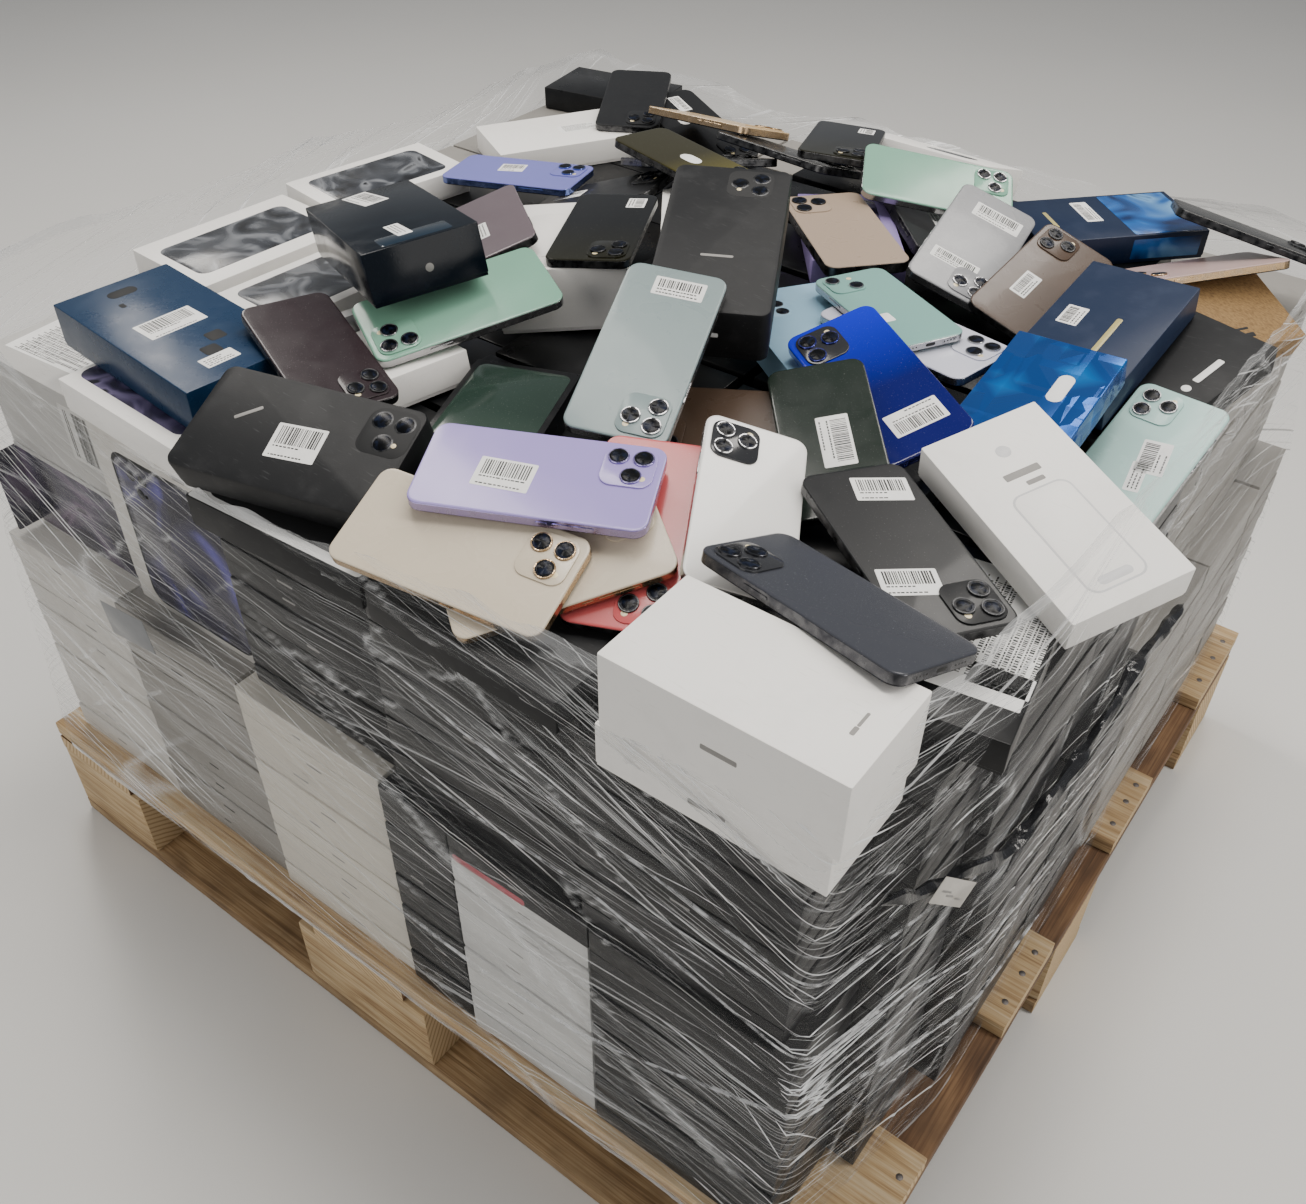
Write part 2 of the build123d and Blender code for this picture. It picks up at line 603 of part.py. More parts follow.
def build():
    """Solids of every node."""
    nodes = pallet()
    stacks = columns()
    for column in stacks:
        for low, high in column.boxes():
            nodes.setdefault(column.node, []).append(box_between(low, high))
    core, bed = core_and_bed(stacks)
    nodes["load_core"] = [core]
    bulk = (DECK_LENGTH / 2, DECK_WIDTH / 2, UPPER_TIER_TOP / 2)
    laid = heap(Block((0, 0, UPPER_TIER_TOP / 2), np.eye(3), bulk))
    nodes.update(laid)
    nodes["bed_boxes"] = bed + laid["bed_boxes"]
    nodes["stretch_film"] = [film()]
    return nodes


for node, solids in build().items():
    shape = solids[0] if len(solids) == 1 else Compound(children=solids)
    export_step(shape, "parts/%s.step" % node)
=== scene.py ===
"""Dressed model of a stretch-wrapped pallet load of boxed and loose phones.

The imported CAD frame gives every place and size. Each class below dresses one sub-assembly of it,
and each finish is a small class named for the real material and for how it was made.
"""

from __future__ import annotations

import json
import logging
import math
from collections.abc import Sequence
from dataclasses import dataclass
from enum import Enum
from functools import cache

import bpy
import numpy as np
from mathutils import Matrix, Vector

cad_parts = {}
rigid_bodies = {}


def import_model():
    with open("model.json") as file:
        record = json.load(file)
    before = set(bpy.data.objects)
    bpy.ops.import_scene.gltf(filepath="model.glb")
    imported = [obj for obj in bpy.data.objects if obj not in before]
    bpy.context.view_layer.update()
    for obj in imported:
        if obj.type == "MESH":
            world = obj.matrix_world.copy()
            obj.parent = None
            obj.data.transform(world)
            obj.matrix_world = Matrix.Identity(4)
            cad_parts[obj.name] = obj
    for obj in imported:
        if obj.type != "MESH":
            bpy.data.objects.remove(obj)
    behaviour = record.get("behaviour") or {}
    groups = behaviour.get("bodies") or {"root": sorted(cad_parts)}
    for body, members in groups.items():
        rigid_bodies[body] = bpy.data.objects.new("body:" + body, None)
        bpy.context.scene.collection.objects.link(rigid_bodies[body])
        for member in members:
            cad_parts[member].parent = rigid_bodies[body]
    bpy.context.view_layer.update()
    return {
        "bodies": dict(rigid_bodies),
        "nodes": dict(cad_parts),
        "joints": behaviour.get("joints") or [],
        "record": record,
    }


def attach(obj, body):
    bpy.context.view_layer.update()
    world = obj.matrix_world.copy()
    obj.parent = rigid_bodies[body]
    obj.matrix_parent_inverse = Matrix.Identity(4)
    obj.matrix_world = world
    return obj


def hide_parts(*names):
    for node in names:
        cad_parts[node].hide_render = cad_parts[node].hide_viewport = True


LOG = logging.getLogger("pallet_load")
MM = 0.001
SMOOTH_ANGLE = math.radians(32.0)


# ---------------------------------------------------------------------------------------------
# Nodes and colours
# ---------------------------------------------------------------------------------------------


def linear(code: str, alpha: float = 1.0) -> tuple[float, float, float, float]:
    """Turns an sRGB hex colour into linear light.

    Args:
        code: six hex digits after a hash.
        alpha: fourth value of the result.

    Returns:
        Red, green, blue and alpha, the first three on the linear scale.
    """
    parts = [int(code[n:n + 2], 16) / 255 for n in (1, 3, 5)]
    light = [p / 12.92 if p <= 0.04045 else ((p + 0.055) / 1.055) ** 2.4 for p in parts]
    return light[0], light[1], light[2], alpha


def per_metre(size_mm: float) -> float:
    """Scale of a texture whose features are about this many millimetres across."""
    return 1.0 / (size_mm * MM)


def add(
    tree: bpy.types.NodeTree,
    kind: str,
    inputs: dict[int | str, object] | None = None,
    stops: Sequence[tuple[float, str | float]] = (),
    **settings: object,
) -> bpy.types.Node:
    """Adds one node to a tree.

    Args:
        tree: node tree of the material.
        kind: Blender's name of the node's type.
        inputs: socket name or number to a fixed value, or to the output linked to it.
        stops: place and colour of each stop, where the node has a colour ramp.
        settings: the node's own properties.

    Returns:
        The new node.
    """
    made = tree.nodes.new(kind)
    for key, value in settings.items():
        setattr(made, key, value)
    for key, value in (inputs or {}).items():
        if isinstance(value, bpy.types.NodeSocket):
            tree.links.new(value, made.inputs[key])
        else:
            made.inputs[key].default_value = value
    if stops:
        elements = made.color_ramp.elements
        while len(elements) < len(stops):
            elements.new(1.0)
        for element, (place, shade) in zip(elements, stops):
            element.position = place
            element.color = linear(shade) if isinstance(shade, str) else (shade, shade, shade, 1.0)
    return made


def blank(name: str) -> tuple[bpy.types.Material, bpy.types.NodeTree, bpy.types.Node]:
    """Starts a material.

    Args:
        name: the material's name.

    Returns:
        The material, its tree, and the main shader linked to the output.
    """
    material = bpy.data.materials.new(name)
    material.use_nodes = True
    tree = material.node_tree
    tree.nodes.clear()
    shader = add(tree, "ShaderNodeBsdfPrincipled")
    add(tree, "ShaderNodeOutputMaterial", {"Surface": shader.outputs[0]})
    return material, tree, shader


# ---------------------------------------------------------------------------------------------
# Finishes
# ---------------------------------------------------------------------------------------------


@dataclass(frozen=True)
class HardenedGlass:
    """Hardened glass over a painted film: a deep even colour, a sharp coat and faint finger smears."""

    name: str
    colour: str
    far_colour: str = ""
    roughness: float = 0.16
    smear_mm: float = 22.0
    reach_mm: float = 160.0

    def build(self) -> bpy.types.Material:
        """Makes the material."""
        material, tree, shader = blank(self.name)
        place = add(tree, "ShaderNodeTexCoord").outputs["Object"]
        smear = add(tree, "ShaderNodeTexNoise",
                    {"Vector": place, "Scale": per_metre(self.smear_mm), "Detail": 5.0, "Distortion": 0.8})
        dust = add(tree, "ShaderNodeTexNoise", {"Vector": place, "Scale": per_metre(0.9), "Detail": 1.0})
        specks = add(tree, "ShaderNodeMapRange",
                     {"Value": dust.outputs[0], "From Min": 0.70, "From Max": 0.80, "To Max": 0.16})
        colour = self.graded(tree)
        dusty = add(tree, "ShaderNodeMix", {0: specks.outputs[0], 6: colour, 7: linear("#c9c8c4")},
                    data_type="RGBA")
        rough = add(tree, "ShaderNodeMapRange",
                    {"Value": smear.outputs[0], "From Min": 0.3, "From Max": 0.8,
                     "To Min": self.roughness, "To Max": self.roughness + 0.08})
        tree.links.new(dusty.outputs[2], shader.inputs["Base Color"])
        tree.links.new(rough.outputs[0], shader.inputs["Roughness"])
        shader.inputs["IOR"].default_value = 1.5
        shader.inputs["Specular IOR Level"].default_value = 0.36
        shader.inputs["Coat Weight"].default_value = 0.14
        shader.inputs["Coat Roughness"].default_value = 0.06
        return material

    def graded(self, tree: bpy.types.NodeTree) -> bpy.types.NodeSocket:
        """Colour of the painted film, graded along the phone where it has a second colour; on the dark glass with the
        olive tint, the tint and its grading are a painted reflection.

        Args:
            tree: node tree of the material.

        Returns:
            The colour's socket.
        """
        lay = add(tree, "ShaderNodeAttribute", attribute_name="lay").outputs["Vector"]
        parts = add(tree, "ShaderNodeSeparateXYZ", {0: lay})
        half = self.reach_mm * MM / 2
        along = add(tree, "ShaderNodeMapRange", {"Value": parts.outputs[0], "From Min": -half, "From Max": half})
        ends = ((0.0, self.colour), (0.45, self.colour), (1.0, self.far_colour or self.colour))
        return add(tree, "ShaderNodeValToRGB", {0: along.outputs[0]}, stops=ends).outputs[0]


@dataclass(frozen=True)
class BlastedMetal:
    """Anodised aluminium, bead blasted: a soft metal sheen that breaks up along the rim."""

    name: str
    colour: str
    roughness: float = 0.30

    def build(self) -> bpy.types.Material:
        """Makes the material."""
        material, tree, shader = blank(self.name)
        place = add(tree, "ShaderNodeTexCoord").outputs["Object"]
        worn = add(tree, "ShaderNodeTexNoise", {"Vector": place, "Scale": per_metre(7.0), "Detail": 4.0})
        rough = add(tree, "ShaderNodeMapRange",
                    {"Value": worn.outputs[0], "From Min": 0.3, "From Max": 0.7,
                     "To Min": self.roughness - 0.08, "To Max": self.roughness + 0.12})
        tone = add(tree, "ShaderNodeValToRGB", {0: worn.outputs[0]},
                   stops=((0.3, self.colour), (0.75, "#b9b9ba")))
        mixed = add(tree, "ShaderNodeMix", {0: 0.25, 6: linear(self.colour), 7: tone.outputs[0]},
                    data_type="RGBA")
        tree.links.new(mixed.outputs[2], shader.inputs["Base Color"])
        tree.links.new(rough.outputs[0], shader.inputs["Roughness"])
        shader.inputs["Metallic"].default_value = 0.92
        return material


@dataclass(frozen=True)
class LensGlass:
    """Sapphire over a dark lens stack: almost black, with a coated blue glint from deep inside."""

    name: str = "lens_glass_polished"
    colour: str = "#050609"
    glint: str = "#141c30"

    def build(self) -> bpy.types.Material:
        """Makes the material."""
        material, tree, shader = blank(self.name)
        place = add(tree, "ShaderNodeTexCoord").outputs["Object"]
        cloud = add(tree, "ShaderNodeTexNoise", {"Vector": place, "Scale": per_metre(5.0), "Detail": 2.0})
        tone = add(tree, "ShaderNodeValToRGB", {0: cloud.outputs[0]},
                   stops=((0.45, self.colour), (0.72, self.glint)))
        tree.links.new(tone.outputs[0], shader.inputs["Base Color"])
        shader.inputs["Roughness"].default_value = 0.26
        shader.inputs["Specular IOR Level"].default_value = 0.14
        shader.inputs["IOR"].default_value = 1.5
        return material


@dataclass(frozen=True)
class LaminatedCard:
    """Litho-printed card under a film laminate: an even colour, soft gloss, rubbed patches and a fibre grain."""

    name: str
    colour: str
    rub: str = "#d8d6d2"
    rub_share: float = 0.10
    roughness: float = 0.42
    spread: float = 0.10
    fibre_mm: float = 1.2

    def build(self) -> bpy.types.Material:
        """Makes the material."""
        material, tree, shader = blank(self.name)
        place = add(tree, "ShaderNodeTexCoord").outputs["Object"]
        tint = add(tree, "ShaderNodeAttribute", attribute_name="tint").outputs["Fac"]
        patch = add(tree, "ShaderNodeTexNoise",
                    {"Vector": place, "Scale": per_metre(30.0), "Detail": 6.0, "Roughness": 0.62})
        scratch_at = add(tree, "ShaderNodeMapping", {0: place, 2: (0.4, 0.2, 0.9), 3: (60.0, 900.0, 500.0)})
        scratch = add(tree, "ShaderNodeTexNoise", {"Vector": scratch_at.outputs[0], "Scale": 1.0, "Detail": 2.0})
        rubbed = add(tree, "ShaderNodeMapRange",
                     {"Value": patch.outputs[0], "From Min": 0.52, "From Max": 0.78,
                      "To Max": self.rub_share})
        lines = add(tree, "ShaderNodeMapRange",
                    {"Value": scratch.outputs[0], "From Min": 0.66, "From Max": 0.74,
                     "To Max": 1.6 * self.rub_share})
        worn = add(tree, "ShaderNodeMath", {0: rubbed.outputs[0], 1: lines.outputs[0]}, operation="ADD",
                   use_clamp=True)
        printed = add(tree, "ShaderNodeMix", {0: worn.outputs[0], 6: linear(self.colour), 7: linear(self.rub)},
                      data_type="RGBA")
        shade = add(tree, "ShaderNodeMapRange",
                    {"Value": tint, "To Min": 1.0 - self.spread, "To Max": 1.0 + self.spread})
        toned = add(tree, "ShaderNodeHueSaturation",
                    {"Hue": 0.5, "Saturation": 1.0, "Value": shade.outputs[0], "Fac": 1.0,
                     "Color": printed.outputs[2]})
        rough = add(tree, "ShaderNodeMapRange",
                    {"Value": patch.outputs[0], "From Min": 0.35, "From Max": 0.7,
                     "To Min": self.roughness - 0.04, "To Max": self.roughness + 0.07})
        fibre = add(tree, "ShaderNodeTexNoise",
                    {"Vector": place, "Scale": per_metre(self.fibre_mm), "Detail": 3.0})
        bump = add(tree, "ShaderNodeBump", {"Strength": 0.12, "Distance": 0.0004, "Height": fibre.outputs[0]})
        tree.links.new(toned.outputs[0], shader.inputs["Base Color"])
        tree.links.new(rough.outputs[0], shader.inputs["Roughness"])
        tree.links.new(bump.outputs[0], shader.inputs["Normal"])
        shader.inputs["IOR"].default_value = 1.46
        shader.inputs["Specular IOR Level"].default_value = 0.32
        return material


@dataclass(frozen=True)
class KraftCard:
    """Unbleached kraft board: brown, matt, with darker fibres and pressed-in pale rubs."""

    name: str
    colour: str = "#8a6d44"
    dark: str = "#6b5132"

    def build(self) -> bpy.types.Material:
        """Makes the material."""
        material, tree, shader = blank(self.name)
        place = add(tree, "ShaderNodeTexCoord").outputs["Object"]
        stretched = add(tree, "ShaderNodeMapping", {0: place, 3: (220.0, 900.0, 900.0)})
        fibre = add(tree, "ShaderNodeTexNoise", {"Vector": stretched.outputs[0], "Scale": 1.0, "Detail": 5.0})
        tone = add(tree, "ShaderNodeValToRGB", {0: fibre.outputs[0]},
                   stops=((0.32, self.dark), (0.52, self.colour), (0.8, "#9b7f56")))
        bump = add(tree, "ShaderNodeBump", {"Strength": 0.25, "Distance": 0.0004, "Height": fibre.outputs[0]})
        tree.links.new(tone.outputs[0], shader.inputs["Base Color"])
        tree.links.new(bump.outputs[0], shader.inputs["Normal"])
        shader.inputs["Roughness"].default_value = 0.78
        return material


@dataclass(frozen=True)
class CrumpledFoil:
    """Metallised blue sleeve, crumpled: broad facets, with painted light and shade in their colour so that they flash
    light and dark blue.
    """

    name: str = "metallised_sleeve_crumpled"
    colour: str = "#1279d0"
    deep: str = "#084a94"

    def build(self) -> bpy.types.Material:
        """Makes the material."""
        material, tree, shader = blank(self.name)
        place = add(tree, "ShaderNodeTexCoord").outputs["Object"]
        facets = add(tree, "ShaderNodeTexVoronoi", {"Vector": place, "Scale": per_metre(38.0)},
                     feature="F1", distance="MANHATTAN")
        # painted light and shade: bright blue at the middle of each facet, deeper blue towards its edges
        tone = add(tree, "ShaderNodeValToRGB", {0: facets.outputs[0]},
                   stops=((0.15, self.colour), (0.62, self.deep)))
        bump = add(tree, "ShaderNodeBump", {"Strength": 0.9, "Distance": 0.004, "Height": facets.outputs[0]})
        tree.links.new(tone.outputs[0], shader.inputs["Base Color"])
        tree.links.new(bump.outputs[0], shader.inputs["Normal"])
        shader.inputs["Metallic"].default_value = 0.55
        shader.inputs["Roughness"].default_value = 0.24
        return material


@dataclass(frozen=True)
class PrintedPicture:
    """Picture of a phone's screen on a box: two soft colours that flow into each other in broad folds."""

    name: str
    low: str
    middle: str
    high: str
    fold_mm: float = 46.0

    def build(self) -> bpy.types.Material:
        """Makes the material."""
        material, tree, shader = blank(self.name)
        place = add(tree, "ShaderNodeTexCoord").outputs["Object"]
        bend = add(tree, "ShaderNodeTexNoise",
                   {"Vector": place, "Scale": per_metre(self.fold_mm), "Detail": 1.5, "Distortion": 1.6})
        tone = add(tree, "ShaderNodeValToRGB", {0: bend.outputs[0]},
                   stops=((0.30, self.low), (0.50, self.middle), (0.66, self.high), (0.74, self.low)))
        tree.links.new(tone.outputs[0], shader.inputs["Base Color"])
        shader.inputs["Roughness"].default_value = 0.24
        return material


@dataclass(frozen=True)
class PlainInk:
    """Thermal paper or print: flat and matt with the least unevenness of tone."""

    name: str
    colour: str
    roughness: float = 0.62

    def build(self) -> bpy.types.Material:
        """Makes the material."""
        material, tree, shader = blank(self.name)
        place = add(tree, "ShaderNodeTexCoord").outputs["Object"]
        cloud = add(tree, "ShaderNodeTexNoise", {"Vector": place, "Scale": per_metre(9.0), "Detail": 3.0})
        tone = add(tree, "ShaderNodeHueSaturation",
                   {"Hue": 0.5, "Saturation": 1.0, "Value": 1.0, "Fac": 1.0, "Color": linear(self.colour)})
        value = add(tree, "ShaderNodeMapRange", {"Value": cloud.outputs[0], "To Min": 0.88, "To Max": 1.08})
        tree.links.new(value.outputs[0], tone.inputs["Value"])
        tree.links.new(tone.outputs[0], shader.inputs["Base Color"])
        shader.inputs["Roughness"].default_value = self.roughness
        return material


@dataclass(frozen=True)
class SawnPine:
    """Rough-sawn pine: long grain lines, a few knots, a raised fibre and uneven weathering."""

    name: str
    light: str
    middle: str
    dark: str
    knot: str = "#5a3a20"
    stain_share: float = 0.3
    stain: str = "#6f5137"
    grain_mm: float = 2.4
    grain_run_mm: float = 130.0

    def build(self) -> bpy.types.Material:
        """Makes the material."""
        material, tree, shader = blank(self.name)
        lay = add(tree, "ShaderNodeAttribute", attribute_name="lay").outputs["Vector"]
        run = per_metre(self.grain_run_mm)
        fine = per_metre(self.grain_mm)
        drawn = add(tree, "ShaderNodeMapping", {0: lay, 3: (run, fine, fine)})
        grain = add(tree, "ShaderNodeTexNoise",
                    {"Vector": drawn.outputs[0], "Scale": 1.0, "Detail": 5.0, "Distortion": 0.7})
        broad_at = add(tree, "ShaderNodeMapping", {0: lay, 3: (run * 0.8, fine * 0.16, fine * 0.16)})
        broad = add(tree, "ShaderNodeTexNoise",
                    {"Vector": broad_at.outputs[0], "Scale": 1.0, "Detail": 2.0, "Distortion": 1.2})
        both = add(tree, "ShaderNodeMix", {0: 0.45, 2: grain.outputs[0], 3: broad.outputs[0]}, data_type="FLOAT")
        tone = add(tree, "ShaderNodeValToRGB", {0: both.outputs[0]},
                   stops=((0.34, self.dark), (0.47, self.middle), (0.62, self.light)))
        knots_at = add(tree, "ShaderNodeMapping", {0: lay, 3: (5.5, 9.0, 9.0)})
        knots = add(tree, "ShaderNodeTexVoronoi", {"Vector": knots_at.outputs[0], "Scale": 1.0})
        spot = add(tree, "ShaderNodeMapRange",
                   {"Value": knots.outputs[0], "From Min": 0.09, "From Max": 0.05})
        knotted = add(tree, "ShaderNodeMix", {0: spot.outputs[0], 6: tone.outputs[0], 7: linear(self.knot)},
                      data_type="RGBA")
        weather = add(tree, "ShaderNodeTexNoise", {"Vector": lay, "Scale": per_metre(60.0), "Detail": 6.0})
        dirt = add(tree, "ShaderNodeMapRange",
                   {"Value": weather.outputs[0], "From Min": 0.44, "From Max": 0.70,
                    "To Max": self.stain_share})
        dirty = add(tree, "ShaderNodeMix",
                    {0: dirt.outputs[0], 6: knotted.outputs[2], 7: linear(self.stain)}, data_type="RGBA")
        bump = add(tree, "ShaderNodeBump", {"Strength": 0.55, "Distance": 0.0012, "Height": both.outputs[0]})
        tree.links.new(dirty.outputs[2], shader.inputs["Base Color"])
        tree.links.new(bump.outputs[0], shader.inputs["Normal"])
        shader.inputs["Roughness"].default_value = 0.80
        return material


@dataclass(frozen=True)
class PineEnd:
    """Cross-cut pine: curved growth rings and darker open pores."""

    name: str = "pine_cross_cut"
    light: str = "#cdb48d"
    dark: str = "#a88a63"
    ring_mm: float = 6.0

    def build(self) -> bpy.types.Material:
        """Makes the material."""
        material, tree, shader = blank(self.name)
        lay = add(tree, "ShaderNodeAttribute", attribute_name="lay").outputs["Vector"]
        off = add(tree, "ShaderNodeMapping", {0: lay, 1: (0.0, 0.011, 0.060)})
        rings = add(tree, "ShaderNodeTexWave",
                    {"Vector": off.outputs[0], "Scale": per_metre(self.ring_mm) * math.tau / 20.0, "Distortion": 1.6,
                     "Detail": 2.0, "Detail Scale": 0.5}, wave_type="RINGS", rings_direction="X")
        tone = add(tree, "ShaderNodeValToRGB", {0: rings.outputs[1]},
                   stops=((0.0, self.dark), (0.5, self.light)))
        pores = add(tree, "ShaderNodeTexNoise", {"Vector": lay, "Scale": per_metre(1.5), "Detail": 3.0})
        bump = add(tree, "ShaderNodeBump", {"Strength": 0.5, "Distance": 0.001, "Height": pores.outputs[0]})
        tree.links.new(tone.outputs[0], shader.inputs["Base Color"])
        tree.links.new(bump.outputs[0], shader.inputs["Normal"])
        shader.inputs["Roughness"].default_value = 0.85
        return material


@dataclass(frozen=True)
class StreakFamily:
    """Streaks of one slope in the film: their run, width and share, and how wide their patches are."""

    slope: float
    length_mm: float
    width_mm: float
    low: float
    high: float
    share: float
    patch_mm: float


@dataclass(frozen=True)
class StretchFilm:
    """Cast polyethylene pulled tight: clear, with white streaks that are partly drawn film and partly painted glints,
    soft bands, and painted highlights on its creases.
    """

    name: str = "stretch_film_cast"
    colour: str = "#f4f6f8"
    clear: float = 0.02
    raised_family: int = 1
    families: tuple[StreakFamily, ...] = (
        StreakFamily(-0.10, 620.0, 1.6, 0.60, 0.74, 0.55, 210.0),
        StreakFamily(-0.20, 700.0, 2.6, 0.64, 0.74, 0.80, 260.0),
        StreakFamily(0.05, 560.0, 1.5, 0.62, 0.75, 0.55, 180.0),
        StreakFamily(-0.34, 480.0, 3.4, 0.66, 0.73, 0.95, 300.0),
        StreakFamily(0.14, 520.0, 4.8, 0.66, 0.76, 0.60, 320.0),
        StreakFamily(-0.14, 800.0, 30.0, 0.52, 0.80, 0.11, 420.0),
    )

    def build(self) -> bpy.types.Material:
        """Makes the material."""
        material, tree, shader = blank(self.name)
        run = add(tree, "ShaderNodeTexCoord").outputs["UV"]
        sway = add(tree, "ShaderNodeTexNoise", {"Vector": run, "Scale": per_metre(520.0), "Detail": 1.0})
        pulled = add(tree, "ShaderNodeMix", {0: 0.06, 4: run, 5: sway.outputs[1]}, data_type="VECTOR")
        whole = raised = None
        # each family's white streaks, through the alpha, are partly milky drawn film and partly painted glints
        for family in self.families:
            laid = add(tree, "ShaderNodeMapping", {0: pulled.outputs[1], 2: (0.0, 0.0, -family.slope)})
            drawn = add(tree, "ShaderNodeMapping",
                        {0: laid.outputs[0], 1: (37.0 * family.slope, 9.0 * family.share, 0.0),
                         3: (per_metre(family.length_mm), per_metre(family.width_mm), 1.0)})
            streak = add(tree, "ShaderNodeTexNoise",
                         {"Vector": drawn.outputs[0], "Scale": 1.0, "Detail": 1.5, "Roughness": 0.5},
                         noise_dimensions="2D")
            sharp = add(tree, "ShaderNodeMapRange",
                        {"Value": streak.outputs[0], "From Min": family.low, "From Max": family.high,
                         "To Max": family.share})
            patch_at = add(tree, "ShaderNodeMapping", {0: run, 1: (5.1 * family.slope, 3.3 * family.share, 0.0)})
            patch = add(tree, "ShaderNodeTexNoise",
                        {"Vector": patch_at.outputs[0], "Scale": per_metre(family.patch_mm), "Detail": 1.0},
                        noise_dimensions="2D")
            where = add(tree, "ShaderNodeMapRange",
                        {"Value": patch.outputs[0], "From Min": 0.42, "From Max": 0.64, "To Min": 0.04})
            held = add(tree, "ShaderNodeMath", {0: sharp.outputs[0], 1: where.outputs[0]}, operation="MULTIPLY")
            raised = sharp.outputs[0] if family is self.families[self.raised_family] else raised
            whole = held.outputs[0] if whole is None else add(
                tree, "ShaderNodeMath", {0: whole, 1: held.outputs[0]}, operation="MAXIMUM").outputs[0]
        # the fold attribute is a painted highlight on ridge crests and film edges, added to the alpha of the white
        # streaks
        fold = add(tree, "ShaderNodeAttribute", attribute_name="fold").outputs["Fac"]
        both = add(tree, "ShaderNodeMath", {0: whole, 1: fold}, operation="ADD", use_clamp=True)
        seen = add(tree, "ShaderNodeMath", {0: both.outputs[0], 1: 0.94}, operation="MULTIPLY")
        alpha = add(tree, "ShaderNodeMath", {0: seen.outputs[0], 1: self.clear}, operation="ADD", use_clamp=True)
        bump = add(tree, "ShaderNodeBump", {"Strength": 0.7, "Distance": 0.002, "Height": raised})
        tree.links.new(alpha.outputs[0], shader.inputs["Alpha"])
        tree.links.new(bump.outputs[0], shader.inputs["Normal"])
        shader.inputs["Base Color"].default_value = linear(self.colour)
        shader.inputs["Roughness"].default_value = 0.12
        shader.inputs["IOR"].default_value = 1.5
        return material


@dataclass(frozen=True)
class BunchedFilm:
    """Cast polyethylene bunched into a rope: milky where its layers lie close, clear between, sharp glints."""

    name: str
    colour: str = "#f1f3f5"
    thin: float = 0.05
    thick: float = 0.55

    def build(self) -> bpy.types.Material:
        """Makes the material."""
        material, tree, shader = blank(self.name)
        place = add(tree, "ShaderNodeTexCoord").outputs["Object"]
        layers = add(tree, "ShaderNodeTexNoise", {"Vector": place, "Scale": per_metre(14.0), "Detail": 4.0})
        alpha = add(tree, "ShaderNodeMapRange",
                    {"Value": layers.outputs[0], "From Min": 0.40, "From Max": 0.64, "To Min": self.thin,
                     "To Max": self.thick})
        bump = add(tree, "ShaderNodeBump", {"Strength": 0.8, "Distance": 0.002, "Height": layers.outputs[0]})
        tree.links.new(alpha.outputs[0], shader.inputs["Alpha"])
        tree.links.new(bump.outputs[0], shader.inputs["Normal"])
        shader.inputs["Base Color"].default_value = linear(self.colour)
        shader.inputs["Roughness"].default_value = 0.14
        return material


@dataclass(frozen=True)
class PaleFloor:
    """Rolled studio floor: pale, matt and even."""

    name: str = "studio_floor_rolled"
    colour: str = "#d9d8d5"

    def build(self) -> bpy.types.Material:
        """Makes the material."""
        material, tree, shader = blank(self.name)
        place = add(tree, "ShaderNodeTexCoord").outputs["Object"]
        cloud = add(tree, "ShaderNodeTexNoise", {"Vector": place, "Scale": per_metre(700.0), "Detail": 3.0})
        tone = add(tree, "ShaderNodeValToRGB", {0: cloud.outputs[0]},
                   stops=((0.3, self.colour), (0.8, "#dddcd9")))
        tree.links.new(tone.outputs[0], shader.inputs["Base Color"])
        shader.inputs["Roughness"].default_value = 0.7
        return material


Finish = (HardenedGlass | BlastedMetal | LensGlass | LaminatedCard | KraftCard | CrumpledFoil | PrintedPicture
          | PlainInk | SawnPine | PineEnd | StretchFilm | BunchedFilm | PaleFloor)


@cache
def made_of(finish: Finish) -> bpy.types.Material:
    """The material of a finish, made once."""
    return finish.build()


LENS = LensGlass()
LENS_RING = BlastedMetal("lens_ring_turned_steel", "#1d1e20", 0.38)
FLASH = PlainInk("flash_diffuser_moulded", "#e8d9b0", 0.25)
PORT_DARK = PlainInk("port_lining_moulded", "#08090a", 0.5)
PAPER = PlainInk("label_paper_thermal", "#eeeeec")
INK = PlainInk("label_ink_thermal", "#1d1e20")
FAINT_INK = PlainInk("box_print_grey", "#8d8b88")
WHITE_CARD = LaminatedCard("white_card_laminated", "#f3f1ed", "#b9b5ae", 0.12, 0.45, 0.04)
STACK_WHITE = LaminatedCard("stacked_white_card", "#cfccc6", "#8e8a83", 0.20, 0.5, 0.07)
STACK_GREY_WHITE = LaminatedCard("stacked_grey_white_card", "#b9b8b5", "#8e8a83", 0.20, 0.5, 0.05)
STACK_GREY = LaminatedCard("stacked_grey_card", "#8f8c87", "#6c6965", 0.20, 0.5, 0.08)
STACK_CREAM = LaminatedCard("stacked_cream_card", "#cdc8bd", "#989284", 0.20, 0.5, 0.07)
STACK_PALE = LaminatedCard("stacked_pale_card", "#cbcbc9", "#94928e", 0.20, 0.5, 0.07)
STACK_BLACK = LaminatedCard("stacked_black_card", "#141416", "#6f6f72", 0.10, 0.36, 0.35)
BLACK_CARD = LaminatedCard("black_card_laminated", "#101113", "#6f7072", 0.05, 0.30, 0.2)
MATT_BLACK_CARD = LaminatedCard("black_card_soft_touch", "#18191b", "#7a7b7d", 0.07, 0.52, 0.1)
BLUE_BLACK_CARD = LaminatedCard("blue_black_card_gloss", "#0b121a", "#4c5f6e", 0.04, 0.14, 0.1)
NAVY_CARD = LaminatedCard("navy_card_satin", "#132f4c", "#5d7694", 0.05, 0.28, 0.1)
SLATE_CARD = LaminatedCard("slate_blue_card", "#1c2942", "#7883a0", 0.05, 0.42, 0.1)
SLEEVE_CARD = LaminatedCard("navy_sleeve_card", "#13223c", "#66769a", 0.05, 0.34, 0.1)
LIGHT_BLUE_CARD = LaminatedCard("light_blue_card", "#8db2c9", "#cddbe4", 0.10, 0.4, 0.1)
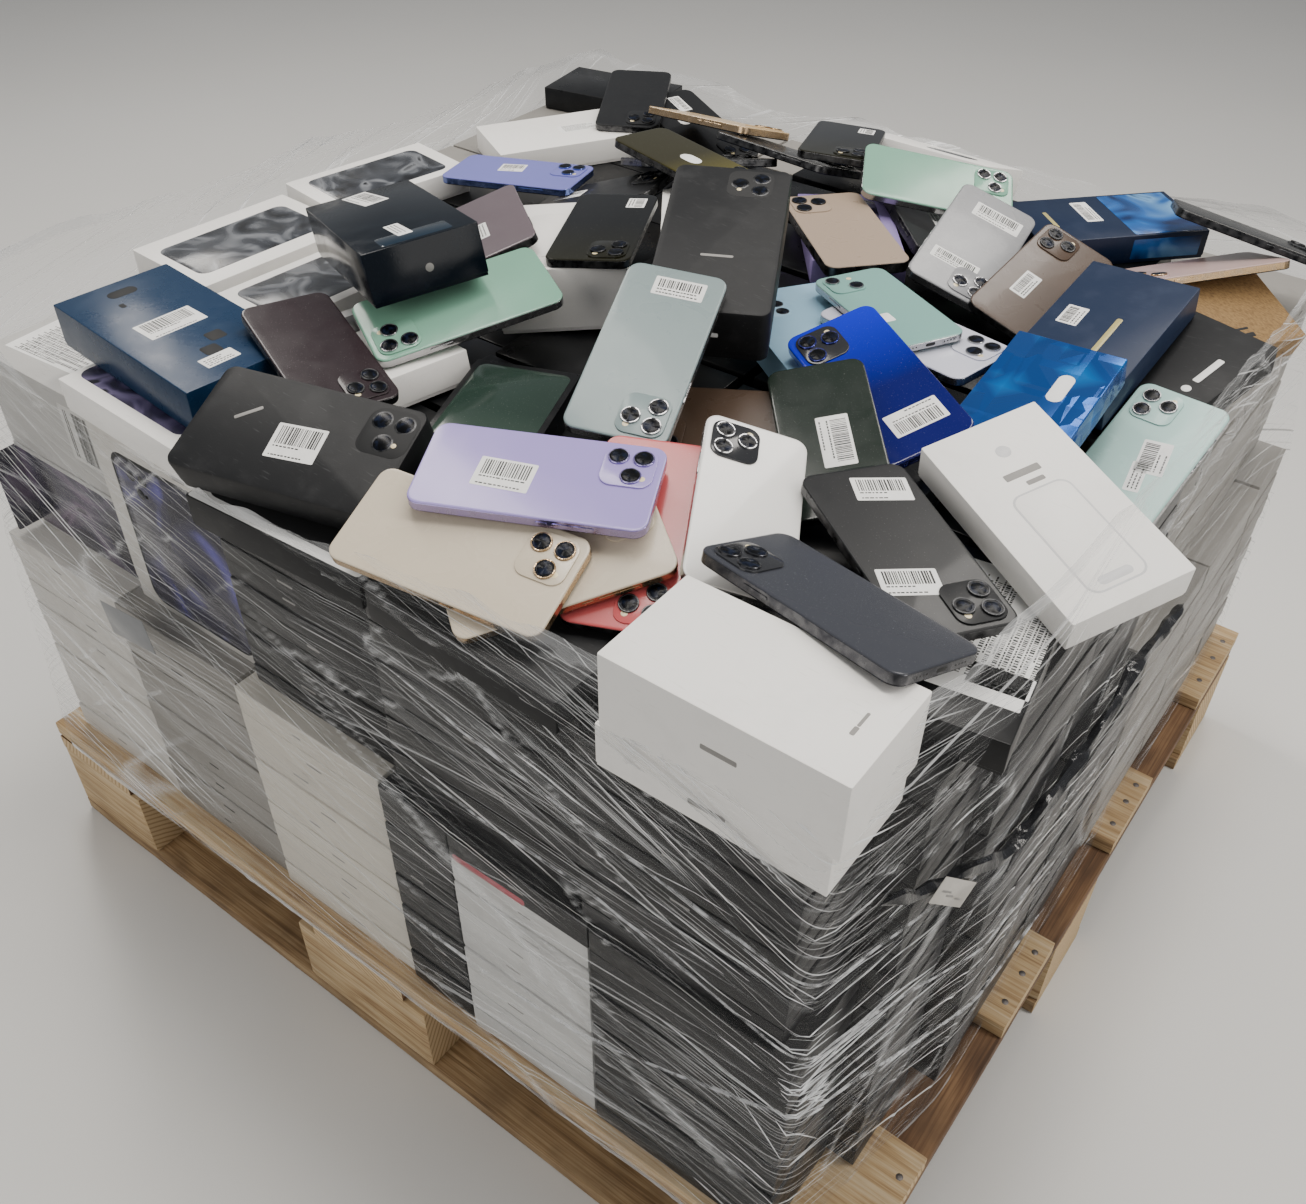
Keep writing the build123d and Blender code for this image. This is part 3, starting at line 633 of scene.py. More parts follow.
VIOLET_CARD = LaminatedCard("violet_card", "#8f7fb4", "#cbc3dc", 0.10, 0.4, 0.1)
KRAFT = KraftCard("kraft_board_plain")
FOIL = CrumpledFoil()
CORE_CARD = KraftCard("core_board_plain", "#8b7658", "#6a5739")
PICTURE_PURPLE = PrintedPicture("picture_print_purple", "#15131d", "#3b3550", "#6d6486")
PICTURE_GREY = PrintedPicture("picture_print_grey", "#17181b", "#3c3f45", "#7d8085")
PICTURE_TEAL = PrintedPicture("picture_print_teal", "#49695f", "#9fc3b5", "#d6e6df")
PICTURE_BLUE = PrintedPicture("picture_print_blue", "#0b2450", "#1c5ea8", "#6fa4d6", 64.0)
PICTURE_DUSK = PrintedPicture("picture_print_dusk", "#2b2933", "#454151", "#6a5a70", 90.0)
PICTURE_VIOLET = PrintedPicture("picture_print_violet", "#23222e", "#36344a", "#5a56a0", 90.0)
PALE_PAPER = PlainInk("label_paper_faded", "#cfcecb")
OUTLINE_GREY = PlainInk("phone_outline_print", "#cfcfd0", 0.4)
BLACK_PRINT = PlainInk("black_print_satin", "#111214", 0.7)
PINK_PRINT = PlainInk("pink_print_satin", "#b8525d", 0.35)
YELLOW_PRINT = PlainInk("pale_yellow_print", "#b5a970", 0.35)
GREEN_PANEL = HardenedGlass("green_panel_glass", "#2a3a33", "#46574c", 0.10)
BAND_DARK = BlastedMetal("dark_band_blasted", "#232427", 0.30)
BAND_STEEL = BlastedMetal("steel_band_polished", "#a9a9ab", 0.20)
BAND_GOLD = BlastedMetal("gold_band_polished", "#c0a27a", 0.22)


# ---------------------------------------------------------------------------------------------
# Surfaces
# ---------------------------------------------------------------------------------------------


@dataclass
class Surface:
    """Points, four-sided faces in bands, and flat closing faces."""

    points: np.ndarray
    quads: np.ndarray
    caps: list[np.ndarray]
    bands: np.ndarray


def rounded_ring(half_x: float, half_y: float, radius: float, steps: int) -> np.ndarray:
    """Outline of a rounded rectangle, anticlockwise.

    The corner's middle plus radius times (cos, sin) of an angle that sweeps a quarter turn at each corner.

    Args:
        half_x: half length.
        half_y: half width.
        radius: corner radius.
        steps: points at each corner.

    Returns:
        Points of the outline, two numbers each.
    """
    radius = max(min(radius, half_x, half_y), 0.0)
    turn = (np.arange(4)[:, None] + np.linspace(0.0, 1.0, steps)[None, :]) * np.pi / 2
    middle = np.array([[1, 1], [-1, 1], [-1, -1], [1, -1]]) * (half_x - radius, half_y - radius)
    return (middle[:, None, :] + radius * np.stack([np.cos(turn), np.sin(turn)], -1)).reshape(-1, 2)


def banded(rings: np.ndarray, closed: bool = True) -> Surface:
    """Skin over a stack of like rings, each ring joined to the next.

    Args:
        rings: array of rings by points by three coordinates.
        closed: whether the first and last ring get a closing face.

    Returns:
        The surface, whose faces point away from the rings' middles.
    """
    count, size = rings.shape[:2]
    first = np.arange(size)
    after = (first + 1) % size
    base = (np.arange(count - 1) * size)[:, None]
    quads = np.stack([base + first, base + after, base + size + after, base + size + first], -1)
    caps = [first[::-1], first + (count - 1) * size] if closed else []
    return Surface(rings.reshape(-1, 3), quads.reshape(-1, 4), caps, np.repeat(np.arange(count - 1), size))


def puck(
    half_x: float,
    half_y: float,
    radius: float,
    profile: Sequence[tuple[float, float]],
    steps: int = 7,
) -> Surface:
    """Rounded slab: a rounded rectangle carried up a profile of inset and height.

    Args:
        half_x: half length at no inset.
        half_y: half width at no inset.
        radius: corner radius at no inset.
        profile: inset and height of each ring.
        steps: points at each corner.

    Returns:
        The closed surface.
    """
    rings = []
    for inset, height in profile:
        flat = rounded_ring(half_x - inset, half_y - inset, max(radius - inset, 0.02), steps)
        rings.append(np.column_stack([flat, np.full(len(flat), height)]))
    return banded(np.array(rings))


def slabs(places: np.ndarray, halves: np.ndarray, low: float, high: float) -> Surface:
    """Many small upright slabs, corners at plus and minus each half size.

    Args:
        places: middle of each slab, two numbers each.
        halves: half length and half width of each.
        low: height of all the undersides.
        high: height of all the tops.

    Returns:
        One surface with all the slabs.
    """
    signs = np.array([[-1, -1], [1, -1], [1, 1], [-1, 1]])
    flat = places[:, None, :] + halves[:, None, :] * signs[None, :, :]
    lower = np.concatenate([flat, np.full((*flat.shape[:2], 1), low)], -1)
    upper = np.concatenate([flat, np.full((*flat.shape[:2], 1), high)], -1)
    points = np.concatenate([lower, upper], 1).reshape(-1, 3)
    faces = np.array([[3, 2, 1, 0], [4, 5, 6, 7], [0, 1, 5, 4], [1, 2, 6, 5], [2, 3, 7, 6], [3, 0, 4, 7]])
    quads = (np.arange(len(places)) * 8)[:, None, None] + faces[None, :, :]
    return Surface(points, quads.reshape(-1, 4), [], np.zeros(len(places) * 6, int))


def turned(surface: Surface, degrees: float, a: float, b: float) -> Surface:
    """The surface turned about its own upright axis and moved to a place.

    Args:
        surface: what is moved.
        degrees: anticlockwise turn.
        a: place along.
        b: place across.

    Returns:
        The moved surface.
    """
    angle = math.radians(degrees)
    spin = np.array([[math.cos(angle), math.sin(angle), 0], [-math.sin(angle), math.cos(angle), 0], [0, 0, 1]])
    return Surface(surface.points @ spin + (a, b, 0.0), surface.quads, surface.caps, surface.bands)


@dataclass
class Pose:
    """Where a solid rests: the middle of its underside, its three directions and its half sizes, in mm."""

    foot: np.ndarray
    axes: np.ndarray
    half_along: float
    half_across: float
    height: float

    def place(self, points: np.ndarray) -> np.ndarray:
        """Local millimetres as metres in the shared frame."""
        return (self.foot + points @ self.axes) * MM

    def side(self, which: str) -> Pose:
        """Pose of a flat side, so that marks can be laid on it as on a top.

        Args:
            which: "front" for the side at minus across, "back" at plus across, "end" at plus along,
                "tail" at minus along.

        Returns:
            A pose whose up direction points out of that side.
        """
        along, across, up = self.axes
        out, run, far = {
            "front": (-across, along, self.half_across),
            "back": (across, -along, self.half_across),
            "end": (along, across, self.half_along),
            "tail": (-along, -across, self.half_along),
        }[which]
        half = self.half_along if which in ("front", "back") else self.half_across
        middle = self.foot + up * self.height / 2 + out * far
        return Pose(middle, np.array([run, np.cross(out, run), out]), half, self.height / 2, 0.0)


class Shell:
    """Surfaces gathered into one mesh, each with its own finish and tint."""

    def __init__(self) -> None:
        """Starts empty."""
        self.points: list[np.ndarray] = []
        self.lays: list[np.ndarray] = []
        self.tints: list[np.ndarray] = []
        self.corners: list[np.ndarray] = []
        self.sizes: list[np.ndarray] = []
        self.slots: list[np.ndarray] = []
        self.finishes: list[Finish] = []
        self.count = 0

    def number(self, finish: Finish) -> int:
        """Number of the finish in this piece, given on its first use."""
        if finish not in self.finishes:
            self.finishes.append(finish)
        return self.finishes.index(finish)

    def add(
        self,
        surface: Surface,
        pose: Pose,
        finish: Finish | Sequence[Finish],
        caps: Finish | None = None,
        tint: float = 0.5,
        offset: Sequence[float] = (0.0, 0.0, 0.0),
    ) -> None:
        """Adds a surface.

        Args:
            surface: the surface in local millimetres.
            pose: where its piece rests.
            finish: its finish, or one for each band.
            caps: finish of the closing faces, if not the last band's.
            tint: the piece's own shade, from 0 to 1.
            offset: metres added to the pattern coordinates, so that like pieces differ.
        """
        bands = [finish] * (int(surface.bands.max()) + 1) if not isinstance(finish, Sequence) else list(finish)
        chosen = np.array([self.number(f) for f in bands])[surface.bands]
        last = self.number(caps or bands[-1])
        self.points.append(pose.place(surface.points))
        self.lays.append(surface.points * MM + np.array(offset))
        self.tints.append(np.full(len(surface.points), tint))
        self.corners.append((surface.quads + self.count).ravel())
        self.sizes.append(np.full(len(surface.quads), 4))
        self.slots.append(chosen)
        for cap in surface.caps:
            self.corners.append(cap + self.count)
            self.sizes.append(np.array([len(cap)]))
            self.slots.append(np.array([last]))
        self.count += len(surface.points)

    def piece(self, name: str, slot: str, *nodes: str) -> bpy.types.Object:
        """Makes the object, parents it to the root body and hides the CAD nodes that it stands for.

        Args:
            name: the piece's name.
            slot: the record's material slot; not used.
            nodes: the CAD nodes that it stands for.

        Returns:
            The object, at the origin.
        """
        mesh = bpy.data.meshes.new(name)
        points = np.concatenate(self.points)
        corners = np.concatenate(self.corners)
        sizes = np.concatenate(self.sizes)
        mesh.vertices.add(len(points))
        mesh.vertices.foreach_set("co", points.astype(np.float32).ravel())
        mesh.loops.add(len(corners))
        mesh.loops.foreach_set("vertex_index", corners.astype(np.int32))
        mesh.polygons.add(len(sizes))
        starts = np.concatenate([[0], np.cumsum(sizes)[:-1]])
        mesh.polygons.foreach_set("loop_start", starts.astype(np.int32))
        mesh.polygons.foreach_set("material_index", np.concatenate(self.slots).astype(np.int32))
        mesh.polygons.foreach_set("use_smooth", np.ones(len(sizes), bool))
        lay = mesh.attributes.new("lay", "FLOAT_VECTOR", "POINT")
        lay.data.foreach_set("vector", np.concatenate(self.lays).astype(np.float32).ravel())
        tint = mesh.attributes.new("tint", "FLOAT", "POINT")
        tint.data.foreach_set("value", np.concatenate(self.tints).astype(np.float32))
        mesh.update(calc_edges=True)
        mesh.validate()
        mesh.set_sharp_from_angle(angle=SMOOTH_ANGLE)
        for finish in self.finishes:
            mesh.materials.append(made_of(finish))
        made = bpy.data.objects.new(name, mesh)
        bpy.context.scene.collection.objects.link(made)
        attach(made, "root")
        if nodes:
            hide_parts(*nodes)
        return made


# ---------------------------------------------------------------------------------------------
# Reading the frame
# ---------------------------------------------------------------------------------------------


def loose_parts(node: bpy.types.Object) -> list[tuple[np.ndarray, np.ndarray]]:
    """Splits a node's mesh into its separate solids.

    Points at the same place count as one. Each triangle hands its lowest label to its three points until
    no label changes, and points that share a label are one solid.

    Args:
        node: the CAD node's object.

    Returns:
        Points in mm and triangles of each solid.
    """
    mesh = node.data
    mesh.calc_loop_triangles()
    points = np.empty(len(mesh.vertices) * 3, np.float32)
    mesh.vertices.foreach_get("co", points)
    triangles = np.empty(len(mesh.loop_triangles) * 3, np.int32)
    mesh.loop_triangles.foreach_get("vertices", triangles)
    points = points.reshape(-1, 3).astype(float) / MM
    unique, inverse = np.unique(np.round(points, 2), axis=0, return_inverse=True)
    triangles = inverse.ravel()[triangles.reshape(-1, 3)]
    labels = np.arange(len(unique))
    while True:
        lowest = labels[triangles].min(1)
        fresh = labels.copy()
        np.minimum.at(fresh, triangles.ravel(), np.repeat(lowest, 3))
        fresh = fresh[fresh]
        if np.array_equal(fresh, labels):
            break
        labels = fresh
    parts = []
    for label in np.unique(labels[triangles[:, 0]]):
        mine = triangles[labels[triangles[:, 0]] == label]
        parts.append((unique, mine))
    return parts


def main_normal(normals: np.ndarray, areas: np.ndarray, chosen: np.ndarray) -> np.ndarray:
    """The direction that most of the area faces.

    Args:
        normals: unit normal of each triangle.
        areas: area of each.
        chosen: which triangles count.

    Returns:
        Mean unit normal of the largest group of like normals.
    """
    keys = np.round(normals[chosen], 2)
    groups, inverse = np.unique(keys, axis=0, return_inverse=True)
    totals = np.bincount(inverse.ravel(), areas[chosen], len(groups))
    guess = groups[totals.argmax()]
    near = normals @ (guess / np.linalg.norm(guess)) > 0.99
    mean = (normals[near] * areas[near, None]).sum(0)
    return mean / np.linalg.norm(mean)


def pose_of(points: np.ndarray, triangles: np.ndarray, body_height: float | None = None) -> Pose:
    """Recovers how a solid rests.

    Up is against the largest face that looks down, across faces out of the largest side, and along is
    across times up. Where part of the solid rises above the body, such as a camera plate, along points
    to that end; otherwise it points to the right.

    Args:
        points: all points, in mm.
        triangles: the solid's triangles.
        body_height: height of the plain body, where the solid has something on top.

    Returns:
        The pose.
    """
    corners = points[triangles]
    cross = np.cross(corners[:, 1] - corners[:, 0], corners[:, 2] - corners[:, 0])
    doubled = np.linalg.norm(cross, axis=1)
    keep = doubled > 1e-6
    normals = cross[keep] / doubled[keep, None]
    areas = doubled[keep] / 2
    up = -main_normal(normals, areas, normals[:, 2] < -0.5)
    across = main_normal(normals, areas, np.abs(normals @ up) < 0.08)
    across = across - up * (across @ up)
    across /= np.linalg.norm(across)
    along = np.cross(across, up)
    mine = points[np.unique(triangles)]
    flip = along[0] < -1e-3 or (abs(along[0]) <= 1e-3 and along[1] < 0)
    if body_height is not None:
        heights = mine @ up - (mine @ up).min()
        plate = mine[heights > body_height + 0.6]
        if len(plate):
            middle = ((mine @ along).max() + (mine @ along).min()) / 2
            flip = (plate @ along).mean() < middle
    if flip:
        along, across = -along, -across
    spans = [(mine @ axis) for axis in (along, across, up)]
    foot = (along * (spans[0].max() + spans[0].min()) / 2 + across * (spans[1].max() + spans[1].min()) / 2
            + up * spans[2].min())
    return Pose(foot, np.array([along, across, up]), np.ptp(spans[0]) / 2, np.ptp(spans[1]) / 2,
                np.ptp(spans[2]))


def poses(frame: dict, node: str, body_height: float | None = None) -> list[Pose]:
    """Poses of all the solids of a node."""
    return [pose_of(points, triangles, body_height) for points, triangles in loose_parts(frame["nodes"][node])]


# ---------------------------------------------------------------------------------------------
# Marks that lie on a face
# ---------------------------------------------------------------------------------------------


class Print(Enum):
    """What is printed on a label."""

    BARS = "one block of bars over two broken lines"
    ROWS = "broken lines only"
    TWIN = "a square code beside broken lines"
    SHEET = "rows of bars and broken lines by turns"
    UPRIGHT = "tall bars beside upright broken lines"


@dataclass(frozen=True)
class Label:
    """Stuck-on paper label with generic bars: sizes in mm, placed from the middle of its face."""

    a: float
    b: float
    length: float = 36.0
    width: float = 20.0
    turn: float = 0.0
    kind: Print = Print.BARS
    paper: Finish = PAPER

    def lay(self, shell: Shell, pose: Pose, seed: int) -> None:
        """Lays the paper and its bars on a face.

        Args:
            shell: the piece.
            pose: pose whose height is the face's.
            seed: picks the pattern of bars.
        """
        top = pose.height + 0.14
        paper = puck(self.length / 2, self.width / 2, 1.0, ((0.0, pose.height - 0.05), (0.0, top - 0.04), (0.05, top)), 3)
        shell.add(turned(paper, self.turn, self.a, self.b), pose, self.paper)
        places, halves = self.bars(np.random.default_rng(seed))
        shell.add(turned(slabs(places, halves, top - 0.02, top + 0.03), self.turn, self.a, self.b), pose, INK)

    def bars(self, chance: np.random.Generator) -> tuple[np.ndarray, np.ndarray]:
        """Places and half sizes of the printed bars.

        Upright bars have seeded widths and gaps added up from the left edge; broken lines are short
        dashes spaced the same way.

        Args:
            chance: source of the widths.

        Returns:
            Middles and half sizes.
        """
        margin = 0.09 * self.length
        usable = self.length - 2 * margin
        parts: list[tuple[np.ndarray, np.ndarray]] = []
        low, high = -self.width / 2 + 1.6, self.width / 2 - 1.6
        if self.kind is Print.BARS:
            split = low + 0.38 * (high - low)
            parts.append(dashes(chance, usable, (0.35, 1.3), (0.4, 1.2), (split + high) / 2, (high - split) / 2 - 0.5))
            rows = (low + 0.9, split - 1.6)
        elif self.kind is Print.TWIN:
            side = min(high - low, usable * 0.4)
            cells = np.stack(np.meshgrid(np.arange(7), np.arange(7)), -1).reshape(-1, 2)
            cells = cells[chance.random(49) < 0.55]
            pitch = side / 7
            middle = np.array([usable / 2 - side + pitch / 2, -side / 2 + pitch / 2])
            parts.append((middle + cells * pitch, np.full((len(cells), 2), pitch * 0.46)))
            rows = tuple(np.linspace(low + 1.2, high - 1.2, 4))
            usable *= 0.5
        elif self.kind is Print.SHEET:
            rows = tuple(np.arange(low + 2.0, high - 1.0, 6.2))
            for row in rows:
                parts.append(dashes(chance, usable * 0.9, (0.5, 1.8), (0.5, 1.6), row + 2.9, 1.5))
        elif self.kind is Print.UPRIGHT:
            parts.append(dashes(chance, usable * 0.55, (0.5, 1.6), (0.5, 1.3), 0.0, (high - low) / 2 - 2.0))
            parts[0] = (parts[0][0] + (usable * 0.2, 0.0), parts[0][1])
            parts.append(dashes(chance, usable * 0.12, (1.0, 1.4), (1.0, 1.4), 0.0, (high - low) / 2 - 3.0))
            parts[1] = (parts[1][0] - (usable * 0.38, 0.0), parts[1][1])
            rows = ()
        else:
            rows = tuple(np.arange(low + 1.2, high - 0.8, 2.9))
        for row in rows:
            length = usable * chance.uniform(0.55, 1.0)
            places, halves = dashes(chance, length, (1.0, 2.6), (0.5, 1.1), row, 0.55)
            parts.append((places - ((usable - length) / 2, 0.0), halves))
        if self.kind is Print.TWIN:
            parts[1:] = [(places - (usable / 2, 0.0), halves) for places, halves in parts[1:]]
        return np.concatenate([p for p, _ in parts]), np.concatenate([h for _, h in parts])


def dashes(
    chance: np.random.Generator,
    length: float,
    width: tuple[float, float],
    gap: tuple[float, float],
    across: float,
    half: float,
) -> tuple[np.ndarray, np.ndarray]:
    """A row of dashes whose seeded widths and gaps are added up from one end.

    Args:
        chance: source of the widths.
        length: length of the row.
        width: least and greatest width of a dash.
        gap: least and greatest gap.
        across: place of the row across its label.
        half: half height of each dash.

    Returns:
        Middles and half sizes.
    """
    count = max(2, int(length / (np.mean(width) + np.mean(gap))))
    widths = chance.uniform(*width, count)
    gaps = chance.uniform(*gap, count)
    ends = np.cumsum(widths + gaps) - gaps
    scale = length / ends[-1]
    middles = (ends - widths / 2) * scale - length / 2
    return np.column_stack([middles, np.full(count, across)]), np.column_stack([widths * scale / 2, np.full(count, half)])


@dataclass(frozen=True)
class Patch:
    """Printed or pressed area with rounded corners: sizes in mm, placed from the middle of its face."""

    a: float
    b: float
    length: float
    width: float
    finish: Finish
    radius: float = 6.0
    turn: float = 0.0
    rise: float = 0.10

    def lay(self, shell: Shell, pose: Pose, seed: int) -> None:
        """Lays the area on a face.

        Args:
            shell: the piece.
            pose: pose whose height is the face's.
            seed: unused here, given to every mark.
        """
        low = pose.height - 0.05
        top = pose.height + self.rise
        body = puck(self.length / 2, self.width / 2, self.radius, ((0.0, low), (0.0, top - 0.03), (0.05, top)), 6)
        shell.add(turned(body, self.turn, self.a, self.b), pose, self.finish)


@dataclass(frozen=True)
class PrintedLenses:
    """Picture of a camera plate with its lenses, printed flat on a box: place and side in mm."""

    a: float
    b: float
    side: float = 36.0
    count: int = 3
    plate: Finish = BLACK_PRINT
    lift: float = 0.0

    def lay(self, shell: Shell, pose: Pose, seed: int) -> None:
        """Lays the plate and the lens rings on a face.

        Args:
            shell: the piece.
            pose: pose whose height is the face's.
            seed: unused here, given to every mark.
        """
        Patch(self.a, self.b, self.side, self.side, self.plate, self.side / 4, 0.0,
              self.lift + 0.10).lay(shell, pose, seed)
        step = self.side * 0.23
        spots = ((step, step), (-step, step), (0.0, -step), (-step, -step))
        for u, v in spots[:self.count]:
            for radius, rise, finish in ((0.20, 0.14, LENS_RING), (0.165, 0.19, LENS)):
                across = self.side * radius * 2
                Patch(self.a + u, self.b + v, across, across, finish, across / 2, 0.0,
                      self.lift + rise).lay(shell, pose, seed)
        Patch(self.a + step, self.b - step, 4.0, 4.0, FLASH, 2.0, 0.0,
              self.lift + 0.16).lay(shell, pose, seed)


Mark = Label | Patch | PrintedLenses


# ---------------------------------------------------------------------------------------------
# Phones and boxes of the heap
# ---------------------------------------------------------------------------------------------


@dataclass(frozen=True)
class Phone:
    """Loose phone lying face down: sizes in mm."""

    length: float
    width: float
    thick: float
    lenses: int
    round_radius: float = 10.0
    plate_rise: float = 1.1
    lens_rise: float = 1.3
    plate_share: float = 0.46
    plate_inset: float = 5.0
    seam: float = 0.14

    def plate(self) -> tuple[float, float, float]:
        """Side of the camera plate, and where its middle lies along and across."""
        side = self.plate_share * self.width
        return side, self.length / 2 - self.plate_inset - side / 2, self.width / 2 - self.plate_inset - side / 2

    def build(self, shell: Shell, pose: Pose, back: Finish, band: Finish, plate: Finish, seed: int) -> None:
        """Builds the body, the plate and lenses, the keys and the port.

        Args:
            shell: the piece.
            pose: where the phone rests.
            back: finish of the back glass.
            band: finish of the frame round the edge.
            plate: finish of the camera plate.
            seed: not used.
        """
        thick = self.thick
        profile = ((1.6, 0.0), (0.6, 0.15), (0.12, 0.7), (self.seam, 1.0), (0.0, 1.15), (0.0, thick - 1.15),
                   (self.seam, thick - 1.0), (0.10, thick - 0.8), (0.5, thick - 0.25), (1.1, thick - 0.05),
                   (2.0, thick))
        bands = [LENS] * 3 + [band] * 3 + [back] * 4
        shell.add(puck(self.length / 2, self.width / 2, self.round_radius, profile), pose, bands, back,
                  offset=(0.0, 0.0, 0.0))
        if self.lenses:
            self.camera(shell, pose, plate, band)
        self.keys(shell, pose, band)
        self.port(shell, pose)

    def camera(self, shell: Shell, pose: Pose, plate: Finish, ring: Finish) -> None:
        """Builds the camera plate with its lenses and flash.

        Args:
            shell: the piece.
            pose: where the phone rests.
            plate: finish of the plate.
            ring: finish of the rings round the lenses.
        """
        side, u, v = self.plate()
        top = self.thick + self.plate_rise
        profile = ((0.0, self.thick - 0.3), (0.0, top - 0.35), (0.12, top - 0.1), (0.45, top))
        shell.add(turned(puck(side / 2, side / 2, side / 4, profile), 0.0, u, v), pose, plate)
        step = side * 0.24
        spots = [(step, step), (-step, step), (0.35 * step, -step), (-step, -step)]
        if self.lenses == 2:
            spots = [(step, step), (-step, -step)]
        outer = 0.205 * side
        for a, b in spots[:self.lenses]:
            self.lens(shell, pose, ring, outer, top, u + a, v + b)
        free = (step, -step * 1.1) if self.lenses == 2 else (1.25 * step, -1.15 * step)
        small = puck(2.4, 2.4, 2.4, ((0.0, top - 0.1), (0.1, top + 0.12), (0.4, top + 0.18)), 5)
        shell.add(turned(small, 0.0, u + free[0], v + free[1]), pose, FLASH)

    def lens(self, shell: Shell, pose: Pose, ring: Finish, outer: float, top: float, a: float, b: float) -> None:
        """Builds one lens: a turned ring and a low glass dome with a darker well.

        Args:
            shell: the piece.
            pose: where the phone rests.
            ring: finish of the ring.
            outer: radius of the ring.
            top: height of the plate.
            a: place along.
            b: place across.
        """
        rise = top + self.lens_rise
        rim = ((0.0, top - 0.1), (0.0, rise - 0.3), (0.25, rise), (0.9, rise), (1.1, rise - 0.25))
        shell.add(turned(puck(outer, outer, outer, rim, 6), 0.0, a, b), pose, [ring, ring, ring, LENS_RING], LENS)
        inner = outer - 2.3
        dome = ((0.0, rise - 0.25), (0.5, rise - 0.14), (inner - 1.0, rise - 0.02))
        shell.add(turned(puck(inner, inner, inner, dome, 5), 0.0, a, b), pose, LENS)

    def keys(self, shell: Shell, pose: Pose, band: Finish) -> None:
        """Builds the side keys, which stand a little out of the frame.

        Args:
            shell: the piece.
            pose: where the phone rests.
            band: finish of the frame.
        """
        for which, spots in (("back", ((28.0, 10.0),)), ("front", ((26.0, 7.0), (40.0, 7.0), (12.0, 4.0)))):
            wall = pose.side(which)
            wall.foot = wall.foot + pose.axes[2] * (self.thick - pose.height) / 2
            sign = -1.0 if which == "back" else 1.0
            for place, half in spots:
                key = puck(half, 1.25, 1.2, ((0.0, -0.2), (0.0, 0.35), (0.2, 0.5)), 4)
                shell.add(turned(key, 0.0, sign * place, 0.0), wall, band)

    def port(self, shell: Shell, pose: Pose) -> None:
        """Builds the charging port and the row of speaker holes at the bottom end.

        Args:
            shell: the piece.
            pose: where the phone rests.
        """
        wall = pose.side("tail")
        wall.foot = wall.foot + pose.axes[2] * (self.thick - pose.height) / 2
        shell.add(puck(4.5, 1.4, 1.4, ((0.0, -0.3), (0.0, 0.04), (0.1, 0.06)), 4), wall, PORT_DARK)
        for place in (*range(-22, -11, 3), *range(13, 24, 3)):
            hole = puck(0.8, 0.8, 0.8, ((0.0, -0.3), (0.0, 0.04), (0.1, 0.05)), 2)
            shell.add(turned(hole, 0.0, float(place), 0.0), wall, PORT_DARK)


@dataclass(frozen=True)
class Carton:
    """Two-part card box: a lid dropped over its tray. Sizes in mm."""

    tray_show: float = 3.0
    lip: float = 0.7
    edge: float = 0.7
    corner: float = 1.3

    def build(self, shell: Shell, pose: Pose, finish: Finish, tint: float) -> None:
        """Builds the box as one closed skin with a step where the lid ends.

        Args:
            shell: the piece.
            pose: where the box rests.
            finish: finish of the card.
            tint: its shade.
        """
        top = pose.height
        soft = self.edge
        profile = ((self.lip + 0.5, 0.0), (self.lip, 0.5), (self.lip, self.tray_show), (0.25, self.tray_show),
                   (0.0, self.tray_show + 0.3), (0.0, top - soft), (0.3 * soft, top - 0.3 * soft), (soft, top))
        steps = 3 if self.corner < 4 else 7
        shell.add(puck(pose.half_along, pose.half_across, self.corner, profile, steps), pose, finish, tint=tint)


@dataclass(frozen=True)
class Laid:
    """One piece of the heap: its node, its place in plan, what it is, how it is finished and marked."""

    name: str
    node: str
    x: float
    y: float
    form: Phone | Carton
    finish: Finish
    slot: str
    marks: tuple[Mark, ...] = ()
    fronts: tuple[Mark, ...] = ()
    ends: tuple[Mark, ...] = ()
    band: Finish = BAND_DARK
    plate: Finish | None = None


PHONE = Phone(150.0, 74.0, 8.0, 3)
LARGE = Phone(162.0, 78.0, 8.5, 3)
SMALL = Phone(138.0, 68.0, 7.5, 2)
CASED = Phone(156.0, 79.0, 11.0, 3)
BARE = Phone(146.0, 72.0, 8.0, 0)
BOX = Carton()
ROUND_BOX = Carton(tray_show=6.0, lip=0.5, edge=2.4, corner=9.0)


def glass(name: str, colour: str, roughness: float = 0.16, far: str = "", reach: float = 160.0) -> HardenedGlass:
    """A phone's back glass of one colour."""
    return HardenedGlass(name, colour, far, roughness, reach_mm=reach)


MINT = glass("mint_back_glass", "#79a892", 0.14)
PALE_MINT = glass("pale_mint_back_glass", "#9fc3bd", 0.22)
TEAL = glass("teal_back_glass", "#7ba8a0", 0.18)
GREY_TEAL = glass("grey_teal_back_glass", "#7b8c8d", 0.26)
MATT_BLACK = glass("matt_black_back_glass", "#131416", 0.36)
DEEP_BLACK = glass("deep_black_back_glass", "#0c0d0e", 0.07, "#1f1e12")
SATIN_BLACK = glass("satin_black_back_glass", "#111214", 0.24)
GOLD = glass("gold_back_glass", "#c9ae85", 0.24)
PERIWINKLE = glass("periwinkle_back_glass", "#7678c0", 0.20)
CHAMPAGNE = glass("champagne_back_glass", "#a39180", 0.26)
SILVER = glass("silver_back_glass", "#8c8d90", 0.24)
PINK = glass("pink_back_glass", "#b9a09c", 0.20)
BROWN = glass("brown_back_glass", "#4c3d32", 0.26)
DUSK = glass("dusk_back_glass", "#2a2024", 0.20)
MAUVE = glass("mauve_back_glass", "#665a60", 0.20)
